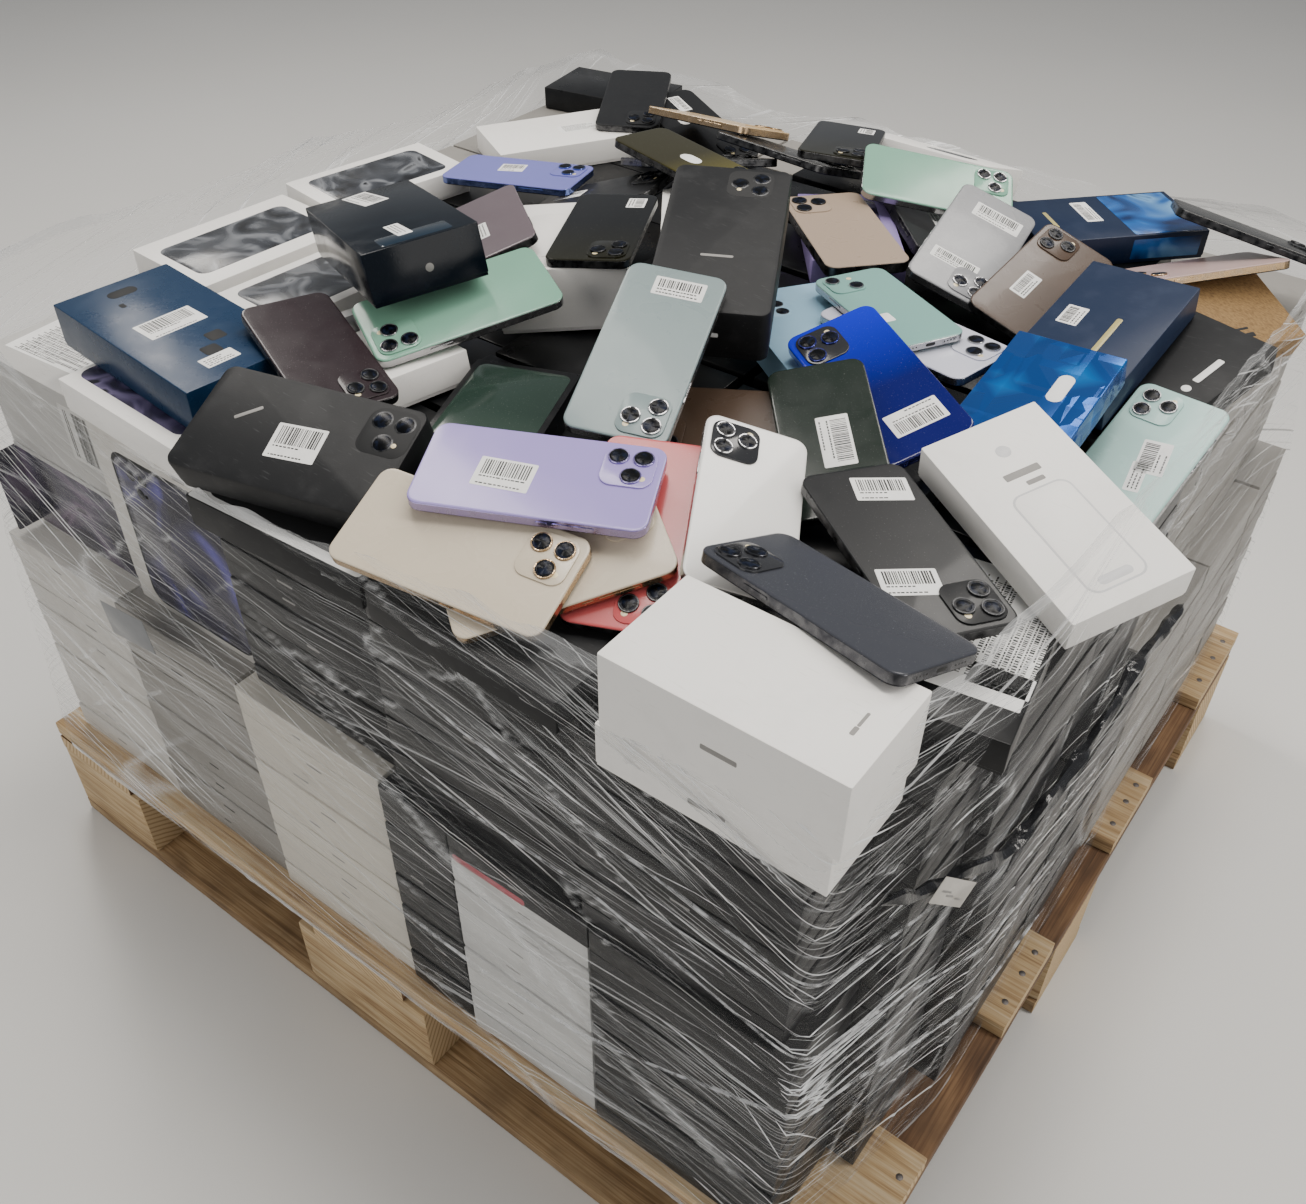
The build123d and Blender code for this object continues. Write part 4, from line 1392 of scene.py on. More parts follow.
# dark back glass: its olive tint, lighter towards the far end, is a painted reflection
DARK_GLASS_OLIVE_REFLECTION = glass("dark_back_glass_painted_olive_reflection", "#2b2812", 0.08, "#6b642a")
LILAC = glass("lilac_back_glass", "#9f8fce", 0.16)
LILAC_WHITE = glass("lilac_white_back_glass", "#c9cbd8", 0.18)
DEEP_BLUE = glass("deep_blue_back_glass", "#0a0f5c", 0.07, "#1022c4")
DARK_GREEN = glass("dark_green_back_glass", "#1c2620", 0.18)
ROSE_RED = glass("rose_red_back_glass", "#c65a5c", 0.18)
WHITE_GLASS = glass("white_back_glass", "#e3e2df", 0.14)
CREAM = glass("cream_back_glass", "#cdc1ad", 0.24)
GRAPHITE = glass("graphite_back_glass", "#373940", 0.20)
DARK_PLATE = glass("dark_plate_glass", "#2a2b2e", 0.10)

LAID: tuple[Laid, ...] = (
    Laid("corner_box_low", "corner_white_boxes", 364, -438, BOX, WHITE_CARD, "white_card",
         fronts=(Patch(0, -2, 26, 4, FAINT_INK, 1.0),)),
    Laid("corner_box_top", "corner_white_boxes", 369, -440, BOX, WHITE_CARD, "white_card",
         marks=(Patch(62, -8, 7, 3, FAINT_INK, 1.0, 90), Patch(62, 2, 12, 2, FAINT_INK, 0.8, 90)),
         fronts=(Patch(2, 2, 24, 4, FAINT_INK, 1.0),)),
    Laid("flat_picture_box", "picture_box_flat", -225, -385, BOX, WHITE_CARD, "white_card",
         marks=(Patch(-10, -8, 146, 74, PICTURE_PURPLE, 10.0),)),
    Laid("left_picture_box", "dark_picture_boxes", -405, -172, BOX, WHITE_CARD, "white_card",
         marks=(Patch(-2, 0, 146, 76, PICTURE_GREY, 10.0),)),
    Laid("inner_picture_box", "dark_picture_boxes", -284, -180, BOX, WHITE_CARD, "white_card",
         marks=(Patch(-2, 0, 146, 72, PICTURE_GREY, 10.0),)),
    Laid("two_square_box", "two_square_box", -135, -256, BOX, WHITE_CARD, "white_card",
         marks=(Patch(-48, 8, 38, 34, MATT_BLACK, 10.0, rise=1.0), Patch(48, 4, 38, 34, MATT_BLACK, 10.0, rise=1.0),
                PrintedLenses(-48, 8, 22, 2, MATT_BLACK), PrintedLenses(48, 4, 22, 2, MATT_BLACK))),
    Laid("far_left_box", "heap_white_boxes", -420, 20, BOX, WHITE_CARD, "white_card",
         marks=(Patch(0, 0, 138, 70, PICTURE_GREY, 10.0),)),
    Laid("left_back_box", "heap_white_boxes", -350, 240, BOX, WHITE_CARD, "white_card",
         marks=(Label(30, 0, 60, 20, 0, Print.ROWS), Patch(60, 20, 10, 10, FAINT_INK, 5.0))),
    Laid("back_white_box", "heap_white_boxes", 40, 412, BOX, WHITE_CARD, "white_card",
         marks=(Patch(20, 0, 60, 30, PICTURE_GREY, 14.0),)),
    Laid("back_black_box", "heap_black_boxes", -395, 400, BOX, BLACK_CARD, "black_card"),
    Laid("front_black_box_left", "heap_black_boxes", -20, -425, BOX, MATT_BLACK_CARD, "black_card",
         marks=(Patch(0, 0, 170, 92, PAPER, 3.0), Patch(2, 3, 160, 80, BLACK_PRINT, 13.0, rise=0.16),
                PrintedLenses(52, 12, 40, 3, lift=0.1))),
    Laid("front_black_box_right", "heap_black_boxes", 165, -427, BOX, MATT_BLACK_CARD, "black_card"),
    Laid("kraft_box", "kraft_box", 400, 240, BOX, KRAFT, "kraft_card",
         marks=(Patch(10, -30, 34, 5, INK, 1.0), Patch(14, -22, 22, 2.5, INK, 1.0))),
    Laid("right_black_box", "heap_black_boxes", 418, 108, BOX, MATT_BLACK_CARD, "black_card",
         marks=(Patch(18, -21, 34, 6, PAPER, 1.5, 0), Patch(-10, -21, 8, 8, PAPER, 4.0))),
    Laid("label_sheet_box", "label_sheet_box", 424, -264, BOX, BLACK_CARD, "white_card",
         marks=(Label(-8, 6, 132, 76, 0, Print.SHEET), Label(36, 26, 40, 20, 90),
                Patch(-40, 20, 24, 16, PAPER, 1.0, rise=0.2))),
    Laid("navy_sleeve_box", "navy_sleeve_box", 264, 338, BOX, SLEEVE_CARD, "navy_card",
         marks=(Patch(46, 0, 70, 88, PICTURE_BLUE, 2.0), Label(-14, 12, 44, 17, 90, Print.BARS),
                Patch(-56, 0, 34, 4, YELLOW_PRINT, 1.0, 90)),
         fronts=(Patch(44, 0, 70, 20, PICTURE_BLUE, 1.0),)),
    Laid("violet_box", "violet_box", 76, 170, BOX, VIOLET_CARD, "violet_card",
         marks=(Patch(0, 0, 120, 62, PICTURE_PURPLE, 9.0),)),
    Laid("light_blue_box", "light_blue_box", 163, -34, BOX, LIGHT_BLUE_CARD, "light_blue_card",
         marks=(PrintedLenses(-52, -20, 30, 2, LIGHT_BLUE_CARD),)),
    Laid("teal_picture_box", "teal_picture_box", 5, 45, BOX, WHITE_CARD, "white_card",
         marks=(Patch(0, 0, 160, 74, PICTURE_TEAL, 10.0),)),
    Laid("square_white_box", "square_white_box", -82, -64, BOX, WHITE_CARD, "white_card",
         marks=(Patch(0, -6, 96, 52, WHITE_CARD, 9.0, rise=0.35),),
         fronts=(Patch(16, -4, 12, 14, INK, 6.0), Patch(-34, 12, 24, 2.5, FAINT_INK, 1.0))),
    Laid("mint_phone_left", "mint_phones", -78, -209, LARGE, MINT, "mint_glass", band=BAND_STEEL,
         plate=MINT),
    Laid("plain_black_phone", "dark_phones", -148, -92, BARE, MAUVE, "black_glass", (Label(12, -9, 36, 15, 0, Print.ROWS),)),
    Laid("glossy_black_box", "glossy_black_box", -168, -187, BOX, BLUE_BLACK_CARD, "black_card",
         marks=(Label(-70, 0, 48, 24, 12), Label(56, -6, 38, 13, 4, Print.ROWS),
                # the blue glass strip near the box's end is a painted sheen on the glossy black card
                Patch(80, 0, 26, 60, glass("box_painted_sheen_blue", "#112433", 0.05), 3.0)),
         ends=(Patch(2, -2, 7, 7, FAINT_INK, 3.5),)),
    Laid("navy_box_left", "navy_boxes", -251, -361, BOX, NAVY_CARD, "navy_card",
         marks=(Label(-4, -2, 52, 30, 92), Label(74, -6, 30, 16, 92, Print.ROWS),
                Patch(-80, -2, 13, 26, BLACK_PRINT, 6.0), Patch(58, -3, 15, 15, BLACK_PRINT, 3.0),
                Patch(40, 12, 15, 15, BLACK_PRINT, 3.0), Patch(-58, -14, 8, 5, BLACK_PRINT, 2.0))),
    Laid("boxed_phone_green", "boxed_phone_green", 32, -288, BOX, BLACK_CARD, "black_card",
         marks=(Patch(0, 0, 138, 78, GREEN_PANEL, 8.0, rise=0.3), Label(-18, 8, 54, 24, 90),
                PrintedLenses(-48, -8, 30, 3))),
    Laid("dark_phone_2", "dark_phones", -120, -325, PHONE, DUSK, "black_glass"),
    Laid("dark_phone_3", "dark_phones", -165, 90, PHONE, MATT_BLACK, "black_glass", (Label(-40, 4, 34, 18),)),
    Laid("dark_phone_4", "dark_phones", -110, 180, PHONE, SATIN_BLACK, "black_glass", (Label(-30, 4, 26, 16),)),
    Laid("dark_phone_5", "dark_phones", -50, 255, PHONE, SATIN_BLACK, "black_glass"),
    Laid("dark_phone_6", "dark_phones", -241, 362, LARGE, MATT_BLACK, "black_glass",
         (Label(-52, 8, 34, 16, 0), Patch(-20, -8, 26, 14, PAPER, 7.0))),
    Laid("dark_phone_7", "dark_phones", -320, 345, PHONE, MATT_BLACK, "black_glass"),
    Laid("brown_phone_1", "brown_phones", -83, 125, PHONE, DARK_GLASS_OLIVE_REFLECTION, "brown_glass", (Patch(0, 0, 24, 16, PAPER, 8.0),)),
    Laid("gold_phone", "gold_phone", -178, 312, LARGE, GOLD, "gold_glass", band=BAND_GOLD, plate=GOLD),
    Laid("violet_blue_phone", "violet_blue_phone", -284, 95, PHONE, PERIWINKLE, "violet_blue_glass",
         (Label(-10, 8, 28, 21, 8),), band=BlastedMetal("periwinkle_band", "#5f74b8", 0.16), plate=PERIWINKLE),
    Laid("camera_black_box", "camera_black_box", 85, -68, ROUND_BOX, MATT_BLACK_CARD, "black_card",
         marks=(PrintedLenses(-74, 16, 38, 3), Patch(28, 0, 26, 3, FAINT_INK, 1.0, 90)),
         ends=(Patch(0, 0, 20, 4, PAPER, 1.0),)),
    Laid("glossy_black_phone_1", "glossy_black_phones", -54, -46, PHONE, DEEP_BLACK, "black_glass",
         (Label(-53, 20, 22, 17),), plate=DEEP_BLACK),
    Laid("glossy_black_phone_2", "glossy_black_phones", -10, 298, PHONE, DEEP_BLACK, "black_glass",
         (Label(-52, 18, 22, 17),), plate=DEEP_BLACK),
    Laid("champagne_phone", "champagne_phone", 85, 140, CASED, CHAMPAGNE, "champagne_glass",
         plate=CHAMPAGNE),
    Laid("labelled_black_phone_1", "labelled_black_phones", 128, 232, CASED, MATT_BLACK, "black_glass",
         (Label(0, 5, 28, 12),), plate=MATT_BLACK),
    Laid("mint_phone_back", "mint_phones", 117, 263, PHONE, MINT, "mint_glass", band=BAND_STEEL, plate=MINT),
    Laid("silver_phone", "silver_phone", 196, 182, LARGE, SILVER, "silver_glass",
         (Label(-50, 6, 48, 22, 90), Label(38, -6, 46, 17, 90)), band=BAND_STEEL, plate=SILVER),
    Laid("pink_phone", "pink_phone", 372, 280, PHONE, PINK, "pink_glass", band=BAND_GOLD, plate=PINK),
    Laid("brown_phone_2", "brown_phones", 272, 170, PHONE, BROWN, "brown_glass", (Label(-16, 10, 34, 16),),
         plate=BROWN),
    Laid("navy_box_right", "navy_boxes", 356, 92, BOX, SLATE_CARD, "navy_card",
         marks=(Label(6, 26, 26, 18, 0), Patch(-8, -10, 52, 5, YELLOW_PRINT, 2.0), Patch(-40, 20, 14, 5, YELLOW_PRINT, 2.0))),
    Laid("dark_phone_8", "dark_phones", 398, 345, PHONE, SATIN_BLACK, "black_glass"),
    Laid("pale_mint_phone", "mint_phones", 436, -6, PHONE, PALE_MINT, "mint_glass",
         (Label(5, -8, 34, 22, 12), Label(-18, -6, 30, 12, 12, Print.ROWS)), band=BAND_STEEL, plate=PALE_MINT),
    Laid("bright_blue_sleeve", "bright_blue_sleeve", 358, -49, BOX, FOIL, "blue_foil",
         marks=(Patch(24, -14, 32, 13, PAPER, 6.0),)),
    Laid("lilac_white_phone", "lilac_white_phone", 232, 2, PHONE, LILAC_WHITE, "lilac_glass", band=BAND_STEEL,
         plate=LILAC_WHITE),
    Laid("teal_phone", "teal_phones", 199, 14, SMALL, TEAL, "teal_glass", (Patch(-20, 12, 15, 11, PAPER, 2.0),),
         band=BAND_STEEL, plate=TEAL),
    Laid("deep_blue_phone", "deep_blue_phone", 251, -93, LARGE, DEEP_BLUE, "blue_glass", (Label(-48, -6, 44, 24, 90),),
         band=BlastedMetal("blue_band", "#2430a0", 0.16), plate=DARK_PLATE),
    Laid("brown_phone_3", "brown_phones", 182, -185, PHONE, BROWN, "brown_glass", plate=BROWN),
    Laid("dark_green_phone", "dark_green_phone", 256, -171, PHONE, DARK_GREEN, "green_glass",
         (Label(6, 4, 50, 24, 0),), plate=DARK_GREEN),
    Laid("grey_teal_phone", "teal_phones", 124, -218, LARGE, GREY_TEAL, "teal_glass", (Label(-62, 5, 40, 18, 90),),
         band=BAND_STEEL, plate=GREY_TEAL),
    Laid("red_phone", "red_phone", 212, -345, PHONE, ROSE_RED, "red_glass", plate=ROSE_RED),
    Laid("five_lens_phone", "five_lens_phone", 185, -398, PHONE, CREAM, "silver_glass", band=BAND_GOLD, plate=CREAM),
    Laid("white_phone", "white_phone", 264, -297, PHONE, WHITE_GLASS, "white_glass", band=BAND_STEEL,
         plate=DARK_PLATE),
    Laid("outline_white_box", "outline_white_box", 423, -165, BOX, WHITE_CARD, "white_card",
         marks=(Patch(28, 0, 92, 46, OUTLINE_GREY, 9.0), Patch(28, 0, 89, 43, WHITE_CARD, 8.0, rise=0.16),
                Patch(66, 0, 7, 26, OUTLINE_GREY, 3.5, rise=0.2), Patch(-56, 0, 11, 11, OUTLINE_GREY, 5.5),
                Patch(-34, 0, 6, 28, FAINT_INK, 1.0), Patch(-24, 4, 4, 14, FAINT_INK, 1.0))),
    Laid("labelled_black_phone_2", "labelled_black_phones", 366, -267, LARGE, MATT_BLACK, "black_glass",
         (Label(-56, 12, 40, 24, 78), Label(32, -14, 40, 24, 78)), plate=MATT_BLACK),
    Laid("scuffed_black_box", "scuffed_black_box", -36, -412, ROUND_BOX, MATT_BLACK_CARD, "black_card",
         marks=(Label(3, -5, 40, 30, 4), PrintedLenses(64, 22, 40, 3),
                Patch(-46, 10, 22, 3, FAINT_INK, 1.0, 40))),
    Laid("cream_phone", "cream_phone", 132, -431, LARGE, CREAM, "cream_glass", band=BAND_GOLD, plate=CREAM),
    Laid("lilac_phone", "lilac_phone", 145, -366, LARGE, LILAC, "lilac_glass", (Label(-22, -4, 40, 27, -4),),
         band=BlastedMetal("lilac_band", "#9a8fc4", 0.2), plate=LILAC),
    Laid("graphite_phone", "graphite_phone", 367, -360, LARGE, GRAPHITE, "graphite_glass",
         band=BlastedMetal("graphite_band", "#33343a", 0.2), plate=DARK_PLATE),
)


class Heap:
    """The loose pieces on top: phones and boxes as they came to rest."""

    def __init__(self, frame: dict) -> None:
        """Keeps the frame."""
        self.frame = frame

    def build(self) -> list[bpy.types.Object]:
        """Builds each piece where the CAD has it.

        Returns:
            The new objects.
        """
        made = []
        for node in dict.fromkeys(laid.node for laid in LAID):
            group = [laid for laid in LAID if laid.node == node]
            height = group[0].form.thick if isinstance(group[0].form, Phone) else None
            rest = sorted(poses(self.frame, node, height), key=lambda pose: pose.foot[2])
            for laid in group:
                away = [math.hypot(pose.foot[0] - laid.x, pose.foot[1] - laid.y) for pose in rest]
                made.append(self.dress(laid, rest.pop(int(np.argmin(away)))))
            if rest:
                LOG.warning("%s has %d solids without a dressed piece", node, len(rest))
        return made

    def dress(self, laid: Laid, pose: Pose) -> bpy.types.Object:
        """Builds one piece with its marks.

        Args:
            laid: what the piece is.
            pose: where it rests.

        Returns:
            The object.
        """
        seed = sum(map(ord, laid.name))
        shell = Shell()
        if isinstance(laid.form, Phone):
            laid.form.build(shell, pose, laid.finish, laid.band, laid.plate or laid.finish, seed)
            face = Pose(pose.foot, pose.axes, pose.half_along, pose.half_across, laid.form.thick)
        else:
            laid.form.build(shell, pose, laid.finish, 0.5)
            face = pose
        for number, mark in enumerate(laid.marks):
            mark.lay(shell, face, seed + number)
        for which, marks in (("front", laid.fronts), ("end", laid.ends)):
            wall = pose.side(which)
            for number, mark in enumerate(marks):
                mark.lay(shell, wall, seed + 50 + number)
        return shell.piece(laid.name, laid.slot, laid.node)


# ---------------------------------------------------------------------------------------------
# Columns of boxes
# ---------------------------------------------------------------------------------------------


@dataclass(frozen=True)
class Facing:
    """Marks on one side of one box of a column: its level from the bottom, and the side or "top"."""

    level: int
    side: str
    marks: tuple[Mark, ...]


@dataclass(frozen=True)
class Stack:
    """How the boxes of one column node are finished."""

    node: str
    finish: Finish
    slot: str
    print_share: float = 0.0
    ink: Finish = FAINT_INK
    facings: tuple[Facing, ...] = ()
    far: Finish | None = None
    far_from: float = 0.0
    crown: Finish | None = None

    def finish_at(self, level: int, count: int, y: float) -> Finish:
        """Finish of one box: the topmost box and the boxes past far_from may have their own.

        Args:
            level: place of the box from the bottom.
            count: number of boxes.
            y: where the box lies, in mm.

        Returns:
            The finish.
        """
        if self.crown and level == count - 1:
            return self.crown
        return self.far if self.far and y > self.far_from else self.finish


STACKS: tuple[Stack, ...] = (
    Stack("front_white_boxes", STACK_WHITE, "white_card", 0.8),
    Stack("front_grey_boxes", STACK_GREY, "grey_card", 0.5, INK),
    Stack("front_cream_boxes", STACK_CREAM, "cream_card", 0.8),
    Stack("front_pale_boxes", STACK_PALE, "cream_card", 0.8, crown=STACK_BLACK, facings=(
        Facing(8, "front", (Patch(-29, -10.5, 74, 7.5, PINK_PRINT, 3.0),)),
    )),
    Stack("front_dark_boxes", STACK_BLACK, "black_card", 0.25),
    Stack("front_black_boxes", STACK_BLACK, "black_card", 0.25),
    Stack("right_boxes", STACK_BLACK, "black_card", 0.25, far=STACK_GREY, far_from=-20.0),
    Stack("left_boxes", STACK_GREY, "grey_card", 0.4, INK),
    Stack("back_boxes", STACK_GREY, "grey_card", 0.4, INK),
    Stack("bed_boxes", BLACK_CARD, "black_card"),
    Stack("label_box_stack", STACK_GREY_WHITE, "white_card", facings=(
        Facing(1, "top", (Label(-22, 8, 104, 62, 4, Print.SHEET), Patch(60, 20, 9, 4, INK, 2.0, 30),
                          Patch(72, 16, 8, 3, INK, 1.5, 30))),
        Facing(1, "front", (Label(50, 6, 44, 58, 0, Print.UPRIGHT, PALE_PAPER),)),
        Facing(0, "front", (Patch(0, 0, 167, 88, PICTURE_DUSK, 2.5),)),
        Facing(0, "tail", (Patch(0, 0, 140, 88, PICTURE_DUSK, 2.5),)),
    )),
    Stack("picture_box_stack", STACK_WHITE, "white_card", facings=(
        Facing(0, "front", (Patch(8, -6, 140, 166, BLACK_PRINT, 16.0), Patch(8, -7, 134, 160, PICTURE_VIOLET, 14.0,
                                                                              rise=0.16),
                            PrintedLenses(-30, 50, 34, 3), Patch(34, 84, 16, 5, FAINT_INK, 1.5))),
        Facing(0, "top", (Patch(12, 0, 140, 74, PICTURE_GREY, 12.0),
                          Patch(64, -22, 26, 20, YELLOW_PRINT, 8.0, rise=0.16))),
    )),
)


class Columns:
    """The stacked boxes under the heap, each box on its own."""

    def __init__(self, frame: dict) -> None:
        """Keeps the frame."""
        self.frame = frame

    def build(self) -> list[bpy.types.Object]:
        """Builds a piece for each column node.

        Returns:
            The new objects.
        """
        return [self.stack(stack) for stack in STACKS]

    def stack(self, stack: Stack) -> bpy.types.Object:
        """Builds all the boxes of one node, each with its own shade, its lid's step and its print.

        Args:
            stack: how they are finished.

        Returns:
            The object.
        """
        chance = np.random.default_rng(sum(map(ord, stack.node)))
        shell = Shell()
        rests = sorted(poses(self.frame, stack.node), key=lambda pose: pose.foot[2])
        for level, pose in enumerate(rests):
            tray = max(2.0, 0.12 * pose.height)
            Carton(tray_show=tray, lip=0.5, edge=0.8, corner=1.2).build(
                shell, pose, stack.finish_at(level, len(rests), pose.foot[1]), float(chance.random()))
            if chance.random() < stack.print_share:
                self.side_print(shell, pose, stack, chance)
            for facing in stack.facings:
                if facing.level == level:
                    wall = pose if facing.side == "top" else pose.side(facing.side)
                    for number, mark in enumerate(facing.marks):
                        mark.lay(shell, wall, 70 * level + number)
        return shell.piece(stack.node + "_stacked", stack.slot, stack.node)

    def side_print(self, shell: Shell, pose: Pose, stack: Stack, chance: np.random.Generator) -> None:
        """Lays a short generic bar on each long side of a box.

        Args:
            shell: the piece.
            pose: where the box rests.
            stack: how it is finished.
            chance: source of the bar's length and place.
        """
        for which in ("front", "back", "end", "tail"):
            wall = pose.side(which)
            length = float(chance.uniform(10.0, 22.0))
            place = float(chance.uniform(-0.25, 0.25)) * wall.half_along
            Patch(place, 0.0, length, 2.2, stack.ink, 0.8, rise=0.05).lay(shell, wall, 0)


# ---------------------------------------------------------------------------------------------
# Pallet
# ---------------------------------------------------------------------------------------------


@dataclass(frozen=True)
class Boards:
    """How the boards of one pallet node are sawn and finished. Sizes in mm."""

    node: str
    finish: Finish
    slot: str
    edge: float = 1.6
    sway: float = 0.5
    stations: int = 26

    def surface(self, pose: Pose, chance: np.random.Generator) -> Surface:
        """A sawn board: a rounded cross-section carried along its length.

        At each station the section shrinks by a seeded smooth wave, so that edges aren't dead straight.

        Args:
            pose: the board's place and half sizes.
            chance: source of the wave.

        Returns:
            The closed surface.
        """
        run = np.linspace(-pose.half_along, pose.half_along, self.stations)
        phases = chance.uniform(0, 6.28, 4)
        wave = self.sway * (0.5 + 0.25 * np.sin(run / 37.0 + phases[0]) + 0.25 * np.sin(run / 11.0 + phases[1]))
        ends = np.minimum(1.0, (pose.half_along - np.abs(run)) / 3.0)
        inset = wave + 0.8 * (1.0 - ends)
        rings = []
        for place, shrink in zip(run, inset):
            flat = rounded_ring(pose.half_across - shrink, pose.height / 2 - 0.35 * shrink, self.edge, 3)
            rings.append(np.column_stack([np.full(len(flat), place), flat[:, 0], flat[:, 1] + pose.height / 2]))
        return banded(np.array(rings))


BOARDS: tuple[Boards, ...] = (
    Boards("deck_boards", SawnPine("deck_pine_sawn", "#cfb995", "#b89a70", "#8d7050"), "deck_pine"),
    Boards("cross_boards", SawnPine("cross_pine_stained", "#8a6a4a", "#6d4f35", "#4a3423", stain_share=0.5,
                                    stain="#3d2c20"), "stained_pine"),
    Boards("bottom_boards", SawnPine("bottom_pine_worn", "#b39a75", "#967a57", "#6d543a", stain_share=0.5,
                                     stain="#54402d"), "stained_pine"),
    Boards("blocks", SawnPine("block_pine_sawn", "#d3bd98", "#bca077", "#94744e"), "block_pine"),
)


class Pallet:
    """The wooden base: deck boards, cross boards, blocks and bottom boards."""

    def __init__(self, frame: dict) -> None:
        """Keeps the frame."""
        self.frame = frame

    def build(self) -> list[bpy.types.Object]:
        """Builds a piece for each node of the pallet.

        Returns:
            The new objects.
        """
        made = []
        for boards in BOARDS:
            chance = np.random.default_rng(sum(map(ord, boards.node)))
            shell = Shell()
            for pose in poses(self.frame, boards.node):
                pose = self.lengthwise(pose)
                offset = chance.uniform(-3.0, 3.0, 3)
                shell.add(boards.surface(pose, chance), pose, boards.finish, PineEnd(), offset=offset)
                if boards.node == "deck_boards":
                    self.nails(shell, pose)
            made.append(shell.piece(boards.node + "_sawn", boards.slot, boards.node))
        return made

    @staticmethod
    def lengthwise(pose: Pose) -> Pose:
        """The pose turned, where needed, so that along is the longer direction of the plan."""
        if pose.half_along >= pose.half_across:
            return pose
        along, across, up = pose.axes
        return Pose(pose.foot, np.array([across, -along, up]), pose.half_across, pose.half_along, pose.height)

    @staticmethod
    def nails(shell: Shell, pose: Pose) -> None:
        """Drives two nails through each end of a deck board.

        Args:
            shell: the piece.
            pose: the board's place.
        """
        head = ((0.0, pose.height - 1.0), (0.0, pose.height - 0.1), (0.6, pose.height + 0.25))
        for end in (-1, 1):
            for side in (-0.55, 0.1, 0.6):
                place = turned(puck(3.2, 3.2, 3.2, head, 4), 0.0, end * (pose.half_along - 11.0), side * pose.half_across)
                shell.add(place, pose, BlastedMetal("nail_head_rusted", "#6b6460", 0.5))


# ---------------------------------------------------------------------------------------------
# Stretch film
# ---------------------------------------------------------------------------------------------


def tube(path: np.ndarray, radius: np.ndarray, lobes: int = 3, twist: float = 0.06, sides: int = 9) -> Surface:
    """A lobed profile carried along an open path, turning as it goes.

    The profile's radius is radius times (1 + 0.25 cos(lobes * angle + twist * length along the path)).

    Args:
        path: points in mm.
        radius: radius at each point.
        lobes: how many lobes the profile has.
        twist: how far it turns for each mm.
        sides: points of the profile.

    Returns:
        The closed surface.
    """
    ahead = np.gradient(path, axis=0)
    ahead /= np.linalg.norm(ahead, axis=1, keepdims=True)
    side = np.cross(ahead, (0.0, 0.0, 1.0))
    side /= np.linalg.norm(side, axis=1, keepdims=True)
    over = np.cross(side, ahead)
    angle = np.linspace(0, 2 * np.pi, sides, endpoint=False)
    run = np.concatenate([[0], np.cumsum(np.linalg.norm(np.diff(path, axis=0), axis=1))])
    reach = radius[:, None] * (1 + 0.25 * np.cos(lobes * angle[None, :] + twist * run[:, None]))
    rings = path[:, None, :] + reach[..., None] * (
        np.cos(angle)[None, :, None] * side[:, None, :] - np.sin(angle)[None, :, None] * over[:, None, :])
    return banded(rings[:, ::-1])


@dataclass(frozen=True)
class FilmFold:
    """A fold or rope of bunched film that lies on the sleeve: a line through points, in mm, and its thickness."""

    name: str
    route: tuple[tuple[float, float, float], ...]
    radius: float
    finish: Finish
    ends: float = 60.0
    waver: float = 1.0

    def build(self) -> bpy.types.Object:
        """Builds the fold, thin at both ends.

        The line runs straight between its points, evened by a running mean, and wavers by seeded noise.

        Returns:
            The object.
        """
        chance = np.random.default_rng(sum(map(ord, self.name)))
        spots = np.array(self.route)
        lengths = np.concatenate([[0], np.cumsum(np.linalg.norm(np.diff(spots, axis=0), axis=1))])
        count = max(16, int(lengths[-1] / 5.0))
        at = np.linspace(0, lengths[-1], count)
        path = np.column_stack([np.interp(at, lengths, spots[:, k]) for k in range(3)])
        padded = np.concatenate([path[:1]] * 3 + [path] + [path[-1:]] * 3)
        path = np.column_stack([np.convolve(padded[:, k], np.ones(7) / 7, "valid") for k in range(3)])
        rough = np.interp(np.arange(count), np.arange(0, count + 8, 4), chance.uniform(-1, 1, len(range(0, count + 8, 4))))
        path[:, 2] += self.waver * rough
        fade = np.clip(np.minimum(at, lengths[-1] - at) / self.ends, 0.12, 1.0)
        shell = Shell()
        rest = Pose(np.zeros(3), np.eye(3), 0.0, 0.0, 0.0)
        shell.add(tube(path, self.radius * fade * (1 + 0.3 * rough)), rest, self.finish)
        return shell.piece(self.name, "stretch_film")


# Routes of the folds, in mm in the shared frame: along the front, round the near corner and up the right side
FOLD_TAIL = ((493.0, 60.0, 478.0), (493.0, -80.0, 505.0), (493.0, -110.0, 488.0), (493.0, -180.0, 485.0),
             (492.0, -257.0, 495.0), (489.0, -298.0, 493.0), (479.0, -348.0, 519.0), (472.0, -381.0, 535.0),
             (466.0, -413.0, 554.0), (460.0, -443.0, 572.0))
FOLD_UPPER = ((100.0, -488.0, 597.0), (179.0, -488.0, 574.0), (256.0, -488.0, 559.0), (366.0, -488.0, 540.0),
              (438.0, -488.0, 529.0), (452.0, -485.0, 528.0), (462.0, -436.0, 524.0), (480.0, -344.0, 503.0),
              (492.0, -270.0, 488.0), (492.0, -120.0, 470.0))
FOLD_MIDDLE = ((101.0, -488.0, 500.0), (197.0, -488.0, 490.0), (278.0, -488.0, 488.0), (360.0, -488.0, 468.0),
               (438.0, -488.0, 447.0), (452.0, -485.0, 446.0), (463.0, -430.0, 437.0), (477.0, -363.0, 410.0),
               (491.0, -290.0, 376.0), (492.0, -120.0, 330.0))
FOLD_LOWER = ((40.0, -488.0, 290.0), (177.0, -488.0, 284.0), (271.0, -488.0, 296.0), (365.0, -488.0, 338.0),
              (436.0, -488.0, 372.0), (452.0, -486.0, 374.0), (464.0, -426.0, 356.0), (479.0, -355.0, 323.0),
              (492.0, -268.0, 276.0), (492.0, -90.0, 214.0))
BUNCHED_FILM = BunchedFilm("stretch_film_bunched")
